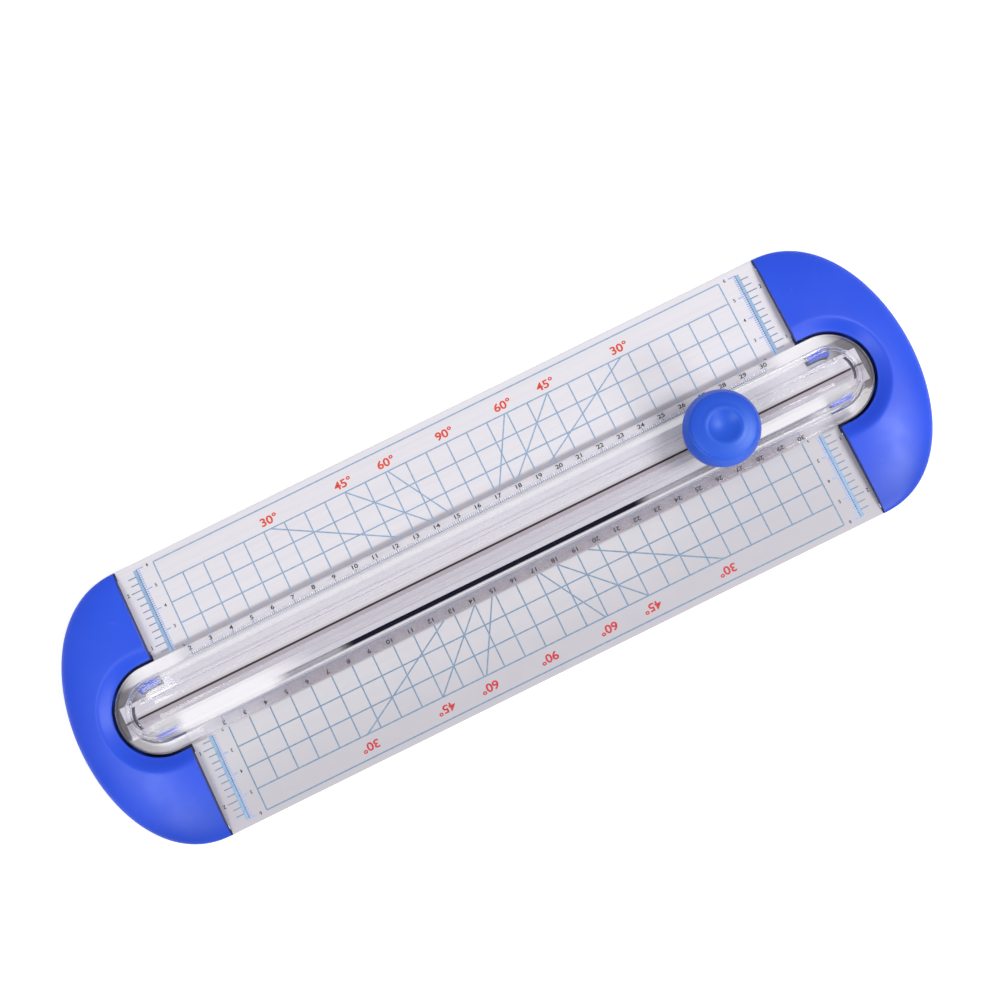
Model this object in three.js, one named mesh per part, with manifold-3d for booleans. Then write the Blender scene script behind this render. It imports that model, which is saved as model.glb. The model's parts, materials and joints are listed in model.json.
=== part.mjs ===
// Rotary paper trimmer: a printed base between two end caps, a clear guide rail that lifts off a grooved
// cutting strip, and a round cutter head that slides along the rail and is pressed down to cut.
// Millimetres. +X runs along the cut, +Y to the back and +Z up. The origin is the centre of the footprint, on
// the level that the rubber feet stand on.

import * as THREE from "three";
import { mergeVertices } from "three/addons/utils/BufferGeometryUtils.js";
import Module from "manifold-3d";

const wasm = await Module();
wasm.setup();

// ---- Driving dimensions ----

// The bed: printed sheets and the cutting strip are flush at BED_Z.
const BED_Z = 12.3;
const SHEET_THICKNESS = 0.3;
const BASE_TOP = BED_Z - SHEET_THICKNESS;
const BASE_BOTTOM = 1.5;
const BASE_HALF_LENGTH = 157.7;
const BASE_HALF_WIDTH = 63.2;
const WALL = 2.4;

// The end caps: half a fattened ellipse in plan, with a round-ended well that holds the end of the rail.
const CAP_X = 158;
const CAP_REACH = 45.2;
const CAP_HALF_WIDTH = BASE_HALF_WIDTH;
const CAP_FATNESS = 2.2;
const CAP_RISE = 7.5;
const CAP_INNER_SHARE = 0.75;
const CAP_RAMP_LENGTH = 25;
const CAP_SKIN = 2;
const WELL_RADIUS = 21.3;
const WELL_RIM_RISE = 3;
const WELL_BEVEL = 5.4;
const WELL_FLOOR = 5;
const WELL_UNDERSIDE = 3;
const TONGUE_RADIUS = 19.4;

// The rail: a round-ended track about a straight spine. At rest it is lifted RAIL_LIFT above the bed.
const SPINE = 163.3;
const RAIL_LIFT = 1.6;
const RAIL_Z = BED_Z + RAIL_LIFT;
const RAIL_RADIUS = 19.8;
const FLANGE_THICKNESS = 2;
const SLOT_HALF = 2.35;
const GUIDE_HALF = 5.3;
const GUIDE_FLOOR = 1.3;
const GUIDE_END_RADIUS = 10.9;
const END_BLOCK = { x: 168, halfWidth: 7 };
const HOLLOW_INNER = 6.9;
const HOLLOW_OUTER = 13;
const HOLLOW_CEILING = 3.6;
const TRACK_FLOOR = 5.2;
const TRACK_RADIUS = 11.3;
const RIDGE_TOP = 8.4;

// The cutting strip, with a groove that takes the edge of the blade.
const STRIP_HALF_LENGTH = 180.1;
const STRIP_HALF_WIDTH = 7.6;
const STRIP_THICKNESS = 1.8;
const GROOVE_HALF = 0.45;
const GROOVE_DEPTH = 1.4;

// The lugs of each cap that guide the rail, and their hooks that hold it down. A lug starts straight, at
// LUG_START, and turns with the rail's end through LUG_TURN radians.
const LUG_START = 158.4;
const LUG_TURN = 0.46;
const LUG_Y = [10, 12.4];
const LUG_TOP = 15.5;
const HOOK_X = [158.6, 163];
const HOOK_BOTTOM = 14.6;
const HOOK_Y = 12.9;
const LEDGE_Y = 12.6;
const LEDGE_THICKNESS = 0.6;

// Fasteners, feet and springs.
const SCREW_X = 167.5;
const SCREW_Y = 40;
const TAB_TOP = 8;
const FEET = { x: 140, y: 50, radius: 6, height: 3 };
const PRESS_SPRING = { y: 5.6, radius: 1.9, wire: 0.3, turns: 5.5, seat: 8 };

// The cutter head. Heights are above the underside of the rail.
const HEAD_X = 107.4;
const BAR = { halfLength: 12.15, halfWidth: 5, bottom: 1.5 };
const PLATE = { halfLength: 10.2, halfWidth: 11, bottom: 5.4, top: 7.3, corner: 0.8 };
const BLOCK = { halfLength: 9.4, halfWidth: 9, top: 14.4 };
const BLADE_SLOT = { halfLength: 7.8, halfWidth: 2.1 };
const CATCH = { inner: 9.4, outer: 10.3, halfWidth: 2.9, bottom: 9.8, top: 10.8 };
const LEG = { inner: 10.5, outer: 11.9, hook: 9.7, halfWidth: 2.5, bottom: 8.6, hookTop: 9.6 };
const HOLDER = { bottom: 4.6, flangeBottom: 17.8, flangeTop: 19.3, flangeRadius: 13.2 };
const CHEEK = { halfLength: 7.4, inner: 0.35, outer: 1.9 };
const BLADE = { radius: 7.5, bore: 1.08, halfThickness: 0.2, centre: 9.3 };
const AXLE = { radius: 1, halfLength: 1.85, hole: 1.06 };
const KNOB = { bottom: 15.2, ceiling: 19.4, radius: 16.7, hollow: 8.8, hollowTop: 24.2 };
const DIMPLE = { bottom: 26.1, depth: 1.9, radius: 6.8 };
const HOLDER_SCREW = { y: 11.7, head: 1.4, shank: 0.8, hole: 0.95, headBottom: 17, top: 21.4 };

// ---- Materials ----

const plastic = (color, roughness, extra = {}) =>
  new THREE.MeshStandardMaterial({ color, roughness, metalness: 0, ...extra });
const steel = (color, roughness) => new THREE.MeshStandardMaterial({ color, roughness, metalness: 1 });

const material = {
  bedWhite: plastic(0xdedde6, 0.55),
  sheetPrint: plastic(0xe3e2ea, 0.5),
  stripWhite: plastic(0xe6e2e8, 0.6),
  capBlue: plastic(0x3a5be8, 0.42),
  knobBlue: plastic(0x2f62e0, 0.3),
  clear: plastic(0xf2f4f8, 0.05, { transparent: true, opacity: 0.35 }),
  carriageWhite: plastic(0xf0f0f2, 0.45),
  holderGreen: plastic(0x0a9a4c, 0.4),
  rubber: plastic(0x2b2b2e, 0.9),
  bladeSteel: steel(0xc9ccd1, 0.25),
  springSteel: steel(0xa9adb3, 0.35),
  screwSteel: steel(0xb9bcc2, 0.3),
};

// ---- Solids ----

// A closed geometry as a manifold solid, with only its positions kept so that shared corners merge.
function solid(geometry) {
  const bare = geometry.clone();
  bare.deleteAttribute("normal");
  bare.deleteAttribute("uv");
  const merged = mergeVertices(bare, 1e-4);
  return new wasm.Manifold(
    new wasm.Mesh({
      numProp: 3,
      vertProperties: new Float32Array(merged.attributes.position.array),
      triVerts: new Uint32Array(merged.index.array),
    }),
  );
}

function geometryOf(manifold) {
  const mesh = manifold.getMesh();
  const geometry = new THREE.BufferGeometry();
  geometry.setAttribute("position", new THREE.BufferAttribute(mesh.vertProperties, 3));
  geometry.setIndex(new THREE.BufferAttribute(mesh.triVerts, 1));
  return geometry.toNonIndexed();
}

const join = (...parts) => parts.reduce((whole, part) => whole.add(part));
const cut = (whole, ...tools) => tools.reduce((rest, tool) => rest.subtract(tool), whole);

function box([x0, x1], [y0, y1], [z0, z1]) {
  const geometry = new THREE.BoxGeometry(x1 - x0, y1 - y0, z1 - z0);
  geometry.translate((x0 + x1) / 2, (y0 + y1) / 2, (z0 + z1) / 2);
  return solid(geometry);
}

// A box that is centred on x = 0 and y = 0.
const block = (halfLength, halfWidth, zRange) =>
  box([-halfLength, halfLength], [-halfWidth, halfWidth], zRange);

function cylinder(radius, [z0, z1], x = 0, y = 0, segments = 24) {
  const geometry = new THREE.CylinderGeometry(radius, radius, z1 - z0, segments);
  geometry.rotateX(Math.PI / 2);
  geometry.translate(x, y, (z0 + z1) / 2);
  return solid(geometry);
}

// A profile of [radius, height] pairs, turned about the Z axis.
function turned(profile, segments) {
  const points = profile.map(([radius, height]) => new THREE.Vector2(radius, height));
  const geometry = new THREE.LatheGeometry(points, segments);
  geometry.rotateX(Math.PI / 2);
  return solid(geometry);
}

function extruded(shape, [z0, z1]) {
  const options = { depth: z1 - z0, bevelEnabled: false, curveSegments: 16 };
  const geometry = new THREE.ExtrudeGeometry(shape, options);
  geometry.translate(0, 0, z0);
  return solid(geometry);
}

const polygon = (points) => new THREE.Shape(points.map(([x, y]) => new THREE.Vector2(x, y)));

// Joins loops of equal length, each an array of [x, y, z]. A ring closes on its first loop. Any other loft
// gets a flat face at each end, in the plane of loop coordinates a and b.
function loft(loops, { ring, a = 1, b = 2 }) {
  const count = loops[0].length;
  const positions = loops.flat(2);
  const index = [];
  const spans = ring ? loops.length : loops.length - 1;
  for (let i = 0; i < spans; i++) {
    const here = i * count;
    const there = ((i + 1) % loops.length) * count;
    for (let j = 0; j < count; j++) {
      const next = (j + 1) % count;
      index.push(here + j, there + j, there + next, here + j, there + next, here + next);
    }
  }
  if (!ring) {
    for (const end of [0, loops.length - 1]) {
      const outline = loops[end].map((p) => new THREE.Vector2(p[a], p[b]));
      const turnsLeft = THREE.ShapeUtils.area(outline) > 0;
      for (const [p, q, r] of THREE.ShapeUtils.triangulateShape(outline, [])) {
        const flip = (end === 0) !== turnsLeft;
        index.push(...(flip ? [p, r, q] : [p, q, r]).map((k) => k + end * count));
      }
    }
  }
  const geometry = new THREE.BufferGeometry();
  geometry.setAttribute("position", new THREE.BufferAttribute(new Float32Array(positions), 3));
  geometry.setIndex(index);
  return solid(geometry);
}

class Helix extends THREE.Curve {
  constructor(radius, height, turns) {
    super();
    Object.assign(this, { radius, height, turns });
  }

  getPoint(t, target = new THREE.Vector3()) {
    const angle = 2 * Math.PI * this.turns * t;
    return target.set(this.radius * Math.cos(angle), this.radius * Math.sin(angle), this.height * t);
  }
}

// A compression spring that stands between two heights.
function coil({ radius, wire, turns }, [z0, z1], x, y) {
  const path = new Helix(radius, z1 - z0 - 2 * wire, turns);
  const section = new THREE.Shape().absarc(0, 0, wire, 0, 2 * Math.PI, false);
  const geometry = new THREE.ExtrudeGeometry(section, {
    steps: Math.round(turns * 8),
    curveSegments: 3,
    bevelEnabled: false,
    extrudePath: path,
  });
  geometry.translate(x, y, z0 + wire);
  return solid(geometry);
}

// ---- The base ----

// A row of pockets that hollows the base from below and leaves ribs between them.
function basePockets(yRange, ceiling) {
  const columns = 6;
  const rib = 1.8;
  const inside = BASE_HALF_LENGTH - WALL;
  const pitch = (2 * inside + rib) / columns;
  const pockets = [];
  for (let i = 0; i < columns; i++) {
    const start = -inside + i * pitch;
    pockets.push(box([start, start + pitch - rib], yRange, [BASE_BOTTOM - 1, ceiling]));
  }
  return pockets;
}

// The outline of a round-ended tongue at the right-hand end, from x to the spine's end and round it.
function tongueOutline(x, radius) {
  const shape = new THREE.Shape();
  shape.moveTo(x, -radius);
  shape.lineTo(SPINE, -radius);
  shape.absarc(SPINE, 0, radius, -Math.PI / 2, Math.PI / 2, false);
  shape.lineTo(x, radius);
  return shape;
}

// The outline of the rear lug at the right-hand end, grown by a spare on every side.
function lugOutline(spare) {
  const inner = LUG_Y[0] - spare;
  const outer = LUG_Y[1] + spare;
  const endAngle = Math.PI / 2 - LUG_TURN - spare / LUG_Y[0];
  const shape = new THREE.Shape();
  shape.moveTo(LUG_START - spare, inner);
  shape.lineTo(SPINE, inner);
  shape.absarc(SPINE, 0, inner, Math.PI / 2, endAngle, true);
  shape.absarc(SPINE, 0, outer, endAngle, Math.PI / 2, false);
  shape.lineTo(LUG_START - spare, outer);
  return shape;
}

// A lug or a cut for one, on the rear side (1) or mirrored to the front side (-1).
function lugBody(spare, side, zRange) {
  const rear = extruded(lugOutline(spare), zRange);
  return side > 0 ? rear : rear.mirror([0, 1, 0]);
}

// The end of the base that goes inside a cap: a tongue that carries the end of the strip in the well and lets
// the cap's lugs through, a shelf on each side and two screw tabs.
function baseEnd(end) {
  const alongX = (from, to) => [end * from, end * to].sort((a, b) => a - b);
  const from = BASE_HALF_LENGTH - 1;
  const floor = BED_Z - STRIP_THICKNESS;
  const tongue = extruded(tongueOutline(from, TONGUE_RADIUS), [WELL_FLOOR + 0.3, floor]);
  const lugSlots = [-1, 1].flatMap((side) => {
    const across = [side * LUG_Y[1], side * (HOOK_Y + 0.4)].sort((a, b) => a - b);
    const hookSlot = box([HOOK_X[0] - 0.4, HOOK_X[1] + 0.4], across, [0, BASE_TOP]);
    return [lugBody(0.4, side, [0, BASE_TOP]), hookSlot];
  });
  const parts = [cut(tongue, ...lugSlots).rotate([0, 0, end > 0 ? 0 : 180])];
  for (const side of [-1, 1]) {
    const alongY = (near, far) => [side * near, side * far].sort((a, b) => a - b);
    parts.push(box(alongX(from, 160.8), alongY(24.5, 58.5), [WELL_UNDERSIDE, BASE_TOP]));
    const tab = box(alongX(from, 173.5), alongY(32, 48), [WELL_UNDERSIDE, TAB_TOP]);
    const hole = cylinder(1.7, [0, BASE_TOP], end * SCREW_X, side * SCREW_Y);
    const counterbore = cylinder(3.3, [0, 5], end * SCREW_X, side * SCREW_Y);
    parts.push(cut(tab, hole, counterbore));
  }
  return join(...parts);
}

const footPlaces = [];
for (const [xName, x] of [["left", -FEET.x], ["middle", 0], ["right", FEET.x]]) {
  for (const [yName, y] of [["front", -FEET.y], ["rear", FEET.y]]) {
    footPlaces.push({ name: `foot_${yName}_${xName}`, x, y });
  }
}

function basePlate() {
  const slab = block(BASE_HALF_LENGTH, BASE_HALF_WIDTH, [BASE_BOTTOM, BASE_TOP]);
  const channelFloor = BED_Z - STRIP_THICKNESS;
  const inner = BASE_HALF_WIDTH - WALL;
  const hollowed = cut(
    slab,
    ...basePockets([13, inner], BASE_TOP - WALL),
    ...basePockets([-inner, -13], BASE_TOP - WALL),
    ...basePockets([-11, 11], channelFloor - WALL),
  );
  const pads = footPlaces.map(({ x, y }) => cylinder(FEET.radius + 1.5, [BASE_BOTTOM, BASE_TOP - 1], x, y));
  const seats = footPlaces.map(({ x, y }) => cylinder(FEET.radius + 0.3, [0, FEET.height], x, y));
  const channel = block(200, STRIP_HALF_WIDTH + 0.2, [channelFloor, BASE_TOP + 1]);
  return cut(join(hollowed, ...pads, baseEnd(1), baseEnd(-1)), channel, ...seats);
}

function rubberFoot({ x, y }) {
  const { radius, height } = FEET;
  const profile = [[0, 0], [radius - 0.6, 0], [radius, 0.6], [radius, height], [0, height]];
  return turned(profile, 24).translate([x, y, 0]);
}

// The printed sheet behind or in front of the strip. Its ends go under the caps beside the wells.
function scaleSheet(side) {
  const right = [
    [BASE_HALF_LENGTH, 8],
    [BASE_HALF_LENGTH, 24.7],
    [160.4, 24.7],
    [160.4, 58.3],
    [BASE_HALF_LENGTH, 58.3],
    [BASE_HALF_LENGTH, BASE_HALF_WIDTH - 0.3],
  ];
  const left = right.map(([x, y]) => [-x, y]).reverse();
  const outline = [...right, ...left].map(([x, y]) => [x, side * y]);
  return extruded(polygon(side > 0 ? outline : outline.reverse()), [BASE_TOP, BED_Z]);
}

function cuttingStrip() {
  const strip = block(STRIP_HALF_LENGTH, STRIP_HALF_WIDTH, [BED_Z - STRIP_THICKNESS, BED_Z]);
  return cut(strip, block(STRIP_HALF_LENGTH + 1, GROOVE_HALF, [BED_Z - GROOVE_DEPTH, BED_Z + 1]));
}

// ---- The end caps, modelled at the right-hand end ----

// Height of a cap's top surface. It swells from the inner edge to the middle, falls to the bed's level at the
// outline, and dips in a bevel to the rim of the well.
function capTop(x, y) {
  const reach = (Math.max(0, x - CAP_X) / CAP_REACH) ** CAP_FATNESS + (y / CAP_HALF_WIDTH) ** 2;
  const dome = Math.sqrt(Math.max(0, 1 - reach ** 1.25));
  const along = Math.min(1, Math.max(0, (x - CAP_X) / CAP_RAMP_LENGTH));
  const ramp = CAP_INNER_SHARE + (1 - CAP_INNER_SHARE) * Math.sin((along * Math.PI) / 2);
  const fromWell = Math.hypot(Math.max(0, x - SPINE), y) - WELL_RADIUS;
  const bevel = Math.min(1, Math.max(0, fromWell / WELL_BEVEL));
  return BED_Z + WELL_RIM_RISE + (CAP_RISE * dome * ramp - WELL_RIM_RISE) * bevel;
}

// The distance to the wall of the well from the middle of the cap's inner edge, in the direction (c, s).
function wellReach(c, s) {
  const spare = SPINE - CAP_X;
  const toSide = WELL_RADIUS / Math.max(Math.abs(s), 1e-9);
  const toRound = spare * c + Math.sqrt(WELL_RADIUS ** 2 - (spare * s) ** 2);
  return toSide * c <= spare ? toSide : toRound;
}

// The cross-section of the cap's shell towards one point of its outline. A turn of 0 is the far end. Beside
// the inner edge the shell is solid down to the bed.
function capSection(turn, solidEdge) {
  const [topSteps, underSteps] = [9, 4];
  const outX = CAP_REACH * Math.max(0, Math.cos(turn)) ** (2 / CAP_FATNESS);
  const outY = CAP_HALF_WIDTH * Math.sin(turn);
  const outline = Math.hypot(outX, outY);
  const [c, s] = [outX / outline, outY / outline];
  const well = wellReach(c, s);
  const place = (radius) => [CAP_X + radius * c, radius * s];
  const top = (radius) => capTop(...place(radius));
  const loop = [];
  for (let i = 0; i <= topSteps; i++) {
    const share = Math.sin((i / topSteps) * (Math.PI / 2));
    const radius = well + (outline - well) * share;
    loop.push([...place(radius), i === topSteps ? BED_Z : top(radius)]);
  }
  const [inner, outer] = [well + WALL, outline - WALL];
  const lowest = BED_Z + 0.3;
  loop.push([...place(outline), BASE_BOTTOM], [...place(outer), BASE_BOTTOM]);
  for (let i = 0; i <= underSteps; i++) {
    const radius = outer + (inner - outer) * (i / underSteps);
    loop.push([...place(radius), solidEdge ? lowest : Math.max(top(radius) - CAP_SKIN, lowest)]);
  }
  loop.push([...place(inner), WELL_UNDERSIDE], [...place(well), WELL_UNDERSIDE]);
  return loop;
}

function capShell() {
  const sections = 26;
  const step = Math.PI / sections;
  const loops = [capSection(Math.PI / 2, true), capSection(Math.PI / 2 - step / 2, true)];
  for (let i = 1; i < sections; i++) {
    loops.push(capSection(Math.PI / 2 - step * i, false));
  }
  loops.push(capSection(step / 2 - Math.PI / 2, true), capSection(-Math.PI / 2, true));
  return loft(loops, { ring: false });
}

function endCap() {
  const wellFloor = extruded(tongueOutline(LUG_START, WELL_RADIUS + 1), [WELL_UNDERSIDE, WELL_FLOOR]);
  const extras = [wellFloor];
  const holes = [];
  for (const side of [-1, 1]) {
    const alongY = (near, far) => [side * near, side * far].sort((a, b) => a - b);
    extras.push(lugBody(0, side, [WELL_FLOOR - 0.5, LUG_TOP]));
    extras.push(box(HOOK_X, alongY(LUG_Y[1] - 0.2, HOOK_Y), [HOOK_BOTTOM, LUG_TOP]));
    const bossTop = capTop(SCREW_X, SCREW_Y) - CAP_SKIN / 2;
    extras.push(cylinder(3.5, [TAB_TOP + 0.2, bossTop], SCREW_X, side * SCREW_Y));
    holes.push(cylinder(1.5, [TAB_TOP - 1, bossTop - 1.5], SCREW_X, side * SCREW_Y));
  }
  return cut(join(capShell(), ...extras), ...holes);
}

function capScrew(x, y) {
  const [head, shank] = [2.8, 1.35];
  const headProfile = [[0, 3.2], [head - 0.6, 3.2], [head, 3.8], [head, 4.9]];
  const shankProfile = [[shank, 4.9], [shank, 13.2], [0, 14]];
  return turned([...headProfile, ...shankProfile], 16).translate([x, y, 0]);
}

// ---- The rail ----

// Half of the rail's section, as [distance from the spine, height above the rail's underside]. From the slot
// outwards: guide floor, hollow, flange, ridge with a lip that holds the carriage down, and track floor.
const railSection = [
  [SLOT_HALF, 0],
  [HOLLOW_INNER, 0],
  [HOLLOW_INNER, HOLLOW_CEILING],
  [HOLLOW_OUTER, HOLLOW_CEILING],
  [HOLLOW_OUTER, 0],
  [RAIL_RADIUS - 0.4, 0],
  [RAIL_RADIUS, 0.4],
  [RAIL_RADIUS, 1.3],
  [RAIL_RADIUS - 0.7, FLANGE_THICKNESS],
  [14.9, FLANGE_THICKNESS],
  [14.2, 2.6],
  [12.8, 7.8],
  [12.3, RIDGE_TOP],
  [11.2, RIDGE_TOP],
  [10.7, 8],
  [TRACK_RADIUS, 7.5],
  [TRACK_RADIUS, TRACK_FLOOR],
  [GUIDE_HALF, TRACK_FLOOR],
  [GUIDE_HALF, GUIDE_FLOOR],
  [SLOT_HALF, GUIDE_FLOOR],
];

// An outline that runs along the whole spine and round both of its ends.
function roundEnded(radius) {
  const shape = new THREE.Shape();
  shape.moveTo(-SPINE, -radius);
  shape.lineTo(SPINE, -radius);
  shape.absarc(SPINE, 0, radius, -Math.PI / 2, Math.PI / 2, false);
  shape.lineTo(-SPINE, radius);
  shape.absarc(-SPINE, 0, radius, Math.PI / 2, 1.5 * Math.PI, false);
  return shape;
}

function guideRail() {
  const arcSteps = 16;
  const loops = [];
  for (const end of [1, -1]) {
    for (let i = 0; i <= arcSteps; i++) {
      const angle = -Math.PI / 2 + (Math.PI * i) / arcSteps + (end < 0 ? Math.PI : 0);
      const place = ([r, z]) => [end * SPINE + r * Math.cos(angle), r * Math.sin(angle), RAIL_Z + z];
      loops.push(railSection.map(place));
    }
  }
  const ledges = [];
  for (const end of [-1, 1]) {
    for (const side of [-1, 1]) {
      const xRange = HOOK_X.map((x) => end * x).sort((a, b) => a - b);
      const yRange = [side * LEDGE_Y, side * (HOLLOW_OUTER + 0.3)].sort((a, b) => a - b);
      ledges.push(box(xRange, yRange, [RAIL_Z, RAIL_Z + LEDGE_THICKNESS]));
    }
  }
  // The rail's ends are solid under the channel, which runs nearly to the ridge.
  const endBlocks = [-1, 1].map((end) => {
    const xRange = [end * END_BLOCK.x, end * (SPINE + HOLLOW_OUTER + 1)].sort((a, b) => a - b);
    const zRange = [RAIL_Z, RAIL_Z + HOLLOW_CEILING + 0.1];
    const { halfWidth } = END_BLOCK;
    const filling = cylinder(HOLLOW_OUTER + 0.2, zRange, end * SPINE, 0, 2 * arcSteps);
    return filling.intersect(box(xRange, [-halfWidth, halfWidth], zRange));
  });
  const whole = join(loft(loops, { ring: true }), ...ledges, ...endBlocks);
  const zRange = [RAIL_Z + GUIDE_FLOOR, RAIL_Z + TRACK_FLOOR + 1];
  const channel = extruded(roundEnded(GUIDE_END_RADIUS), zRange).intersect(block(200, GUIDE_HALF, zRange));
  const slotRange = [RAIL_Z - 1, RAIL_Z + GUIDE_FLOOR + 1];
  const slot = extruded(roundEnded(GUIDE_END_RADIUS), slotRange).intersect(block(200, SLOT_HALF, slotRange));
  return cut(whole, channel, slot);
}

// ---- The cutter head, modelled about x = 0 with the rail's underside at z = 0 ----

const plateOutline = ({ halfLength: l, halfWidth: w, corner: c }) => [
  [l, c - w],
  [l, w - c],
  [l - c, w],
  [c - l, w],
  [-l, w - c],
  [-l, c - w],
  [c - l, -w],
  [l - c, -w],
];

function carriage() {
  const bar = block(BAR.halfLength, BAR.halfWidth, [BAR.bottom, PLATE.bottom]);
  const plate = extruded(polygon(plateOutline(PLATE)), [PLATE.bottom, PLATE.top]);
  const body = block(BLOCK.halfLength, BLOCK.halfWidth, [PLATE.top, BLOCK.top]);
  const catches = [];
  const cuts = [block(BLADE_SLOT.halfLength, BLADE_SLOT.halfWidth, [0, BLOCK.top + 1])];
  for (const end of [-1, 1]) {
    const alongX = (near, far) => [end * near, end * far].sort((a, b) => a - b);
    const width = [-CATCH.halfWidth, CATCH.halfWidth];
    catches.push(box(alongX(CATCH.inner - 1, CATCH.outer), width, [CATCH.bottom, CATCH.top]));
    cuts.push(box(alongX(CATCH.inner, PLATE.halfLength + 1), width, [PLATE.bottom, PLATE.top + 0.5]));
    const socket = [PRESS_SPRING.seat, BLOCK.top + 1];
    cuts.push(cylinder(PRESS_SPRING.radius + 0.7, socket, 0, end * PRESS_SPRING.y));
  }
  return cut(join(bar, plate, body, ...catches), ...cuts);
}

function alongY(radius, halfLength, z, segments = 32) {
  const geometry = new THREE.CylinderGeometry(radius, radius, 2 * halfLength, segments);
  geometry.translate(0, 0, z);
  return solid(geometry);
}

function bladeHolder() {
  const flange = cylinder(HOLDER.flangeRadius, [HOLDER.flangeBottom, HOLDER.flangeTop], 0, 0, 40);
  const parts = [flange];
  const holes = [alongY(AXLE.hole, CHEEK.outer + 1, BLADE.centre)];
  for (const side of [-1, 1]) {
    const across = (near, far) => [side * near, side * far].sort((a, b) => a - b);
    const along = [-CHEEK.halfLength, CHEEK.halfLength];
    parts.push(box(along, across(CHEEK.inner, CHEEK.outer), [HOLDER.bottom, HOLDER.flangeBottom + 0.5]));
    const width = [-LEG.halfWidth, LEG.halfWidth];
    parts.push(box(across(LEG.inner, LEG.outer), width, [LEG.bottom, HOLDER.flangeBottom + 0.5]));
    parts.push(box(across(LEG.hook, LEG.inner + 0.1), width, [LEG.bottom, LEG.hookTop]));
    const throughFlange = [HOLDER.flangeBottom - 1, KNOB.ceiling];
    holes.push(cylinder(HOLDER_SCREW.hole, throughFlange, 0, side * HOLDER_SCREW.y, 16));
  }
  return cut(join(...parts), ...holes);
}

function rotaryBlade() {
  const { radius, bore, halfThickness: t } = BLADE;
  const profile = [[bore, -t], [radius - 0.7, -t], [radius, 0], [radius - 0.7, t], [bore, t], [bore, -t]];
  return turned(profile, 48).rotate([90, 0, 0]).translate([0, 0, BLADE.centre]);
}

const bladeAxle = () => alongY(AXLE.radius, AXLE.halfLength, BLADE.centre);

function holderScrew(side) {
  const { head, shank, headBottom, top, y } = HOLDER_SCREW;
  const under = HOLDER.flangeBottom - 0.05;
  const profile = [[0, headBottom], [head - 0.3, headBottom], [head, headBottom + 0.3], [head, under]];
  return turned([...profile, [shank, under], [shank, top], [0, top]], 16).translate([0, side * y, 0]);
}

// A round cap that widens downwards from a domed crown, which has a dimple for the finger. It's hollow below.
function knob() {
  const dimple = [0, 2, 4, 5.6].map((r) => {
    const rise = Math.sin(((r / DIMPLE.radius) * Math.PI) / 2) ** 2;
    return [r, DIMPLE.bottom + DIMPLE.depth * rise];
  });
  const profile = [
    ...dimple,
    [7.2, 28],
    [9.5, 28.1],
    [11.5, 27.8],
    [13.5, 27],
    [13.8, 26.5],
    [14.5, 26.2],
    [15.6, 24.2],
    [16.5, 21.9],
    [KNOB.radius, 21],
    [16, KNOB.bottom],
    [14.1, KNOB.bottom],
    [13.8, KNOB.ceiling],
    [KNOB.hollow, KNOB.ceiling],
    [KNOB.hollow - 0.2, KNOB.hollowTop],
    [0, KNOB.hollowTop],
  ];
  const holes = [-1, 1].map((side) =>
    cylinder(HOLDER_SCREW.hole, [KNOB.ceiling - 1, HOLDER_SCREW.top + 0.2], 0, side * HOLDER_SCREW.y, 16),
  );
  return cut(turned(profile.reverse(), 44), ...holes);
}

// ---- Assembly ----

const trimmer = new THREE.Group();

function add(name, shape, finish, group = trimmer) {
  const mesh = new THREE.Mesh(geometryOf(shape), finish);
  mesh.name = name;
  group.add(mesh);
}

add("base_plate", basePlate(), material.bedWhite);
add("scale_sheet_rear", scaleSheet(1), material.sheetPrint);
add("scale_sheet_front", scaleSheet(-1), material.sheetPrint);
add("cutting_strip", cuttingStrip(), material.stripWhite);

const rightCap = endCap();
add("end_cap_right", rightCap, material.capBlue);
add("end_cap_left", rightCap.rotate([0, 0, 180]), material.capBlue);

for (const [xName, end] of [["left", -1], ["right", 1]]) {
  for (const [yName, side] of [["front", -1], ["rear", 1]]) {
    const screw = capScrew(end * SCREW_X, side * SCREW_Y);
    add(`cap_screw_${yName}_${xName}`, screw, material.screwSteel);
  }
}

for (const place of footPlaces) {
  add(place.name, rubberFoot(place), material.rubber);
}

add("guide_rail", guideRail(), material.clear);

const head = new THREE.Group();
head.position.set(HEAD_X, 0, RAIL_Z);
trimmer.add(head);
add("carriage", carriage(), material.carriageWhite, head);
add("blade_holder", bladeHolder(), material.holderGreen, head);
add("rotary_blade", rotaryBlade(), material.bladeSteel, head);
add("blade_axle", bladeAxle(), material.screwSteel, head);
add("knob", knob(), material.knobBlue, head);
for (const [name, side] of [["front", -1], ["rear", 1]]) {
  const spring = coil(PRESS_SPRING, [PRESS_SPRING.seat, HOLDER.flangeBottom], 0, side * PRESS_SPRING.y);
  add(`press_spring_${name}`, spring, material.springSteel, head);
  add(`holder_screw_${name}`, holderScrew(side), material.screwSteel, head);
}

export default trimmer;
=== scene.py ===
"""Looks of the rotary paper trimmer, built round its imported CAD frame.

Metres, in the frame of the CAD: +X along the cut, +Y to the back, +Z up. Fine pieces replace the faceted CAD
nodes that show most, and every piece has a node-based material.
"""

import json
import math

import bmesh
import bpy
import numpy as np
from mathutils import Matrix, Vector


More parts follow.
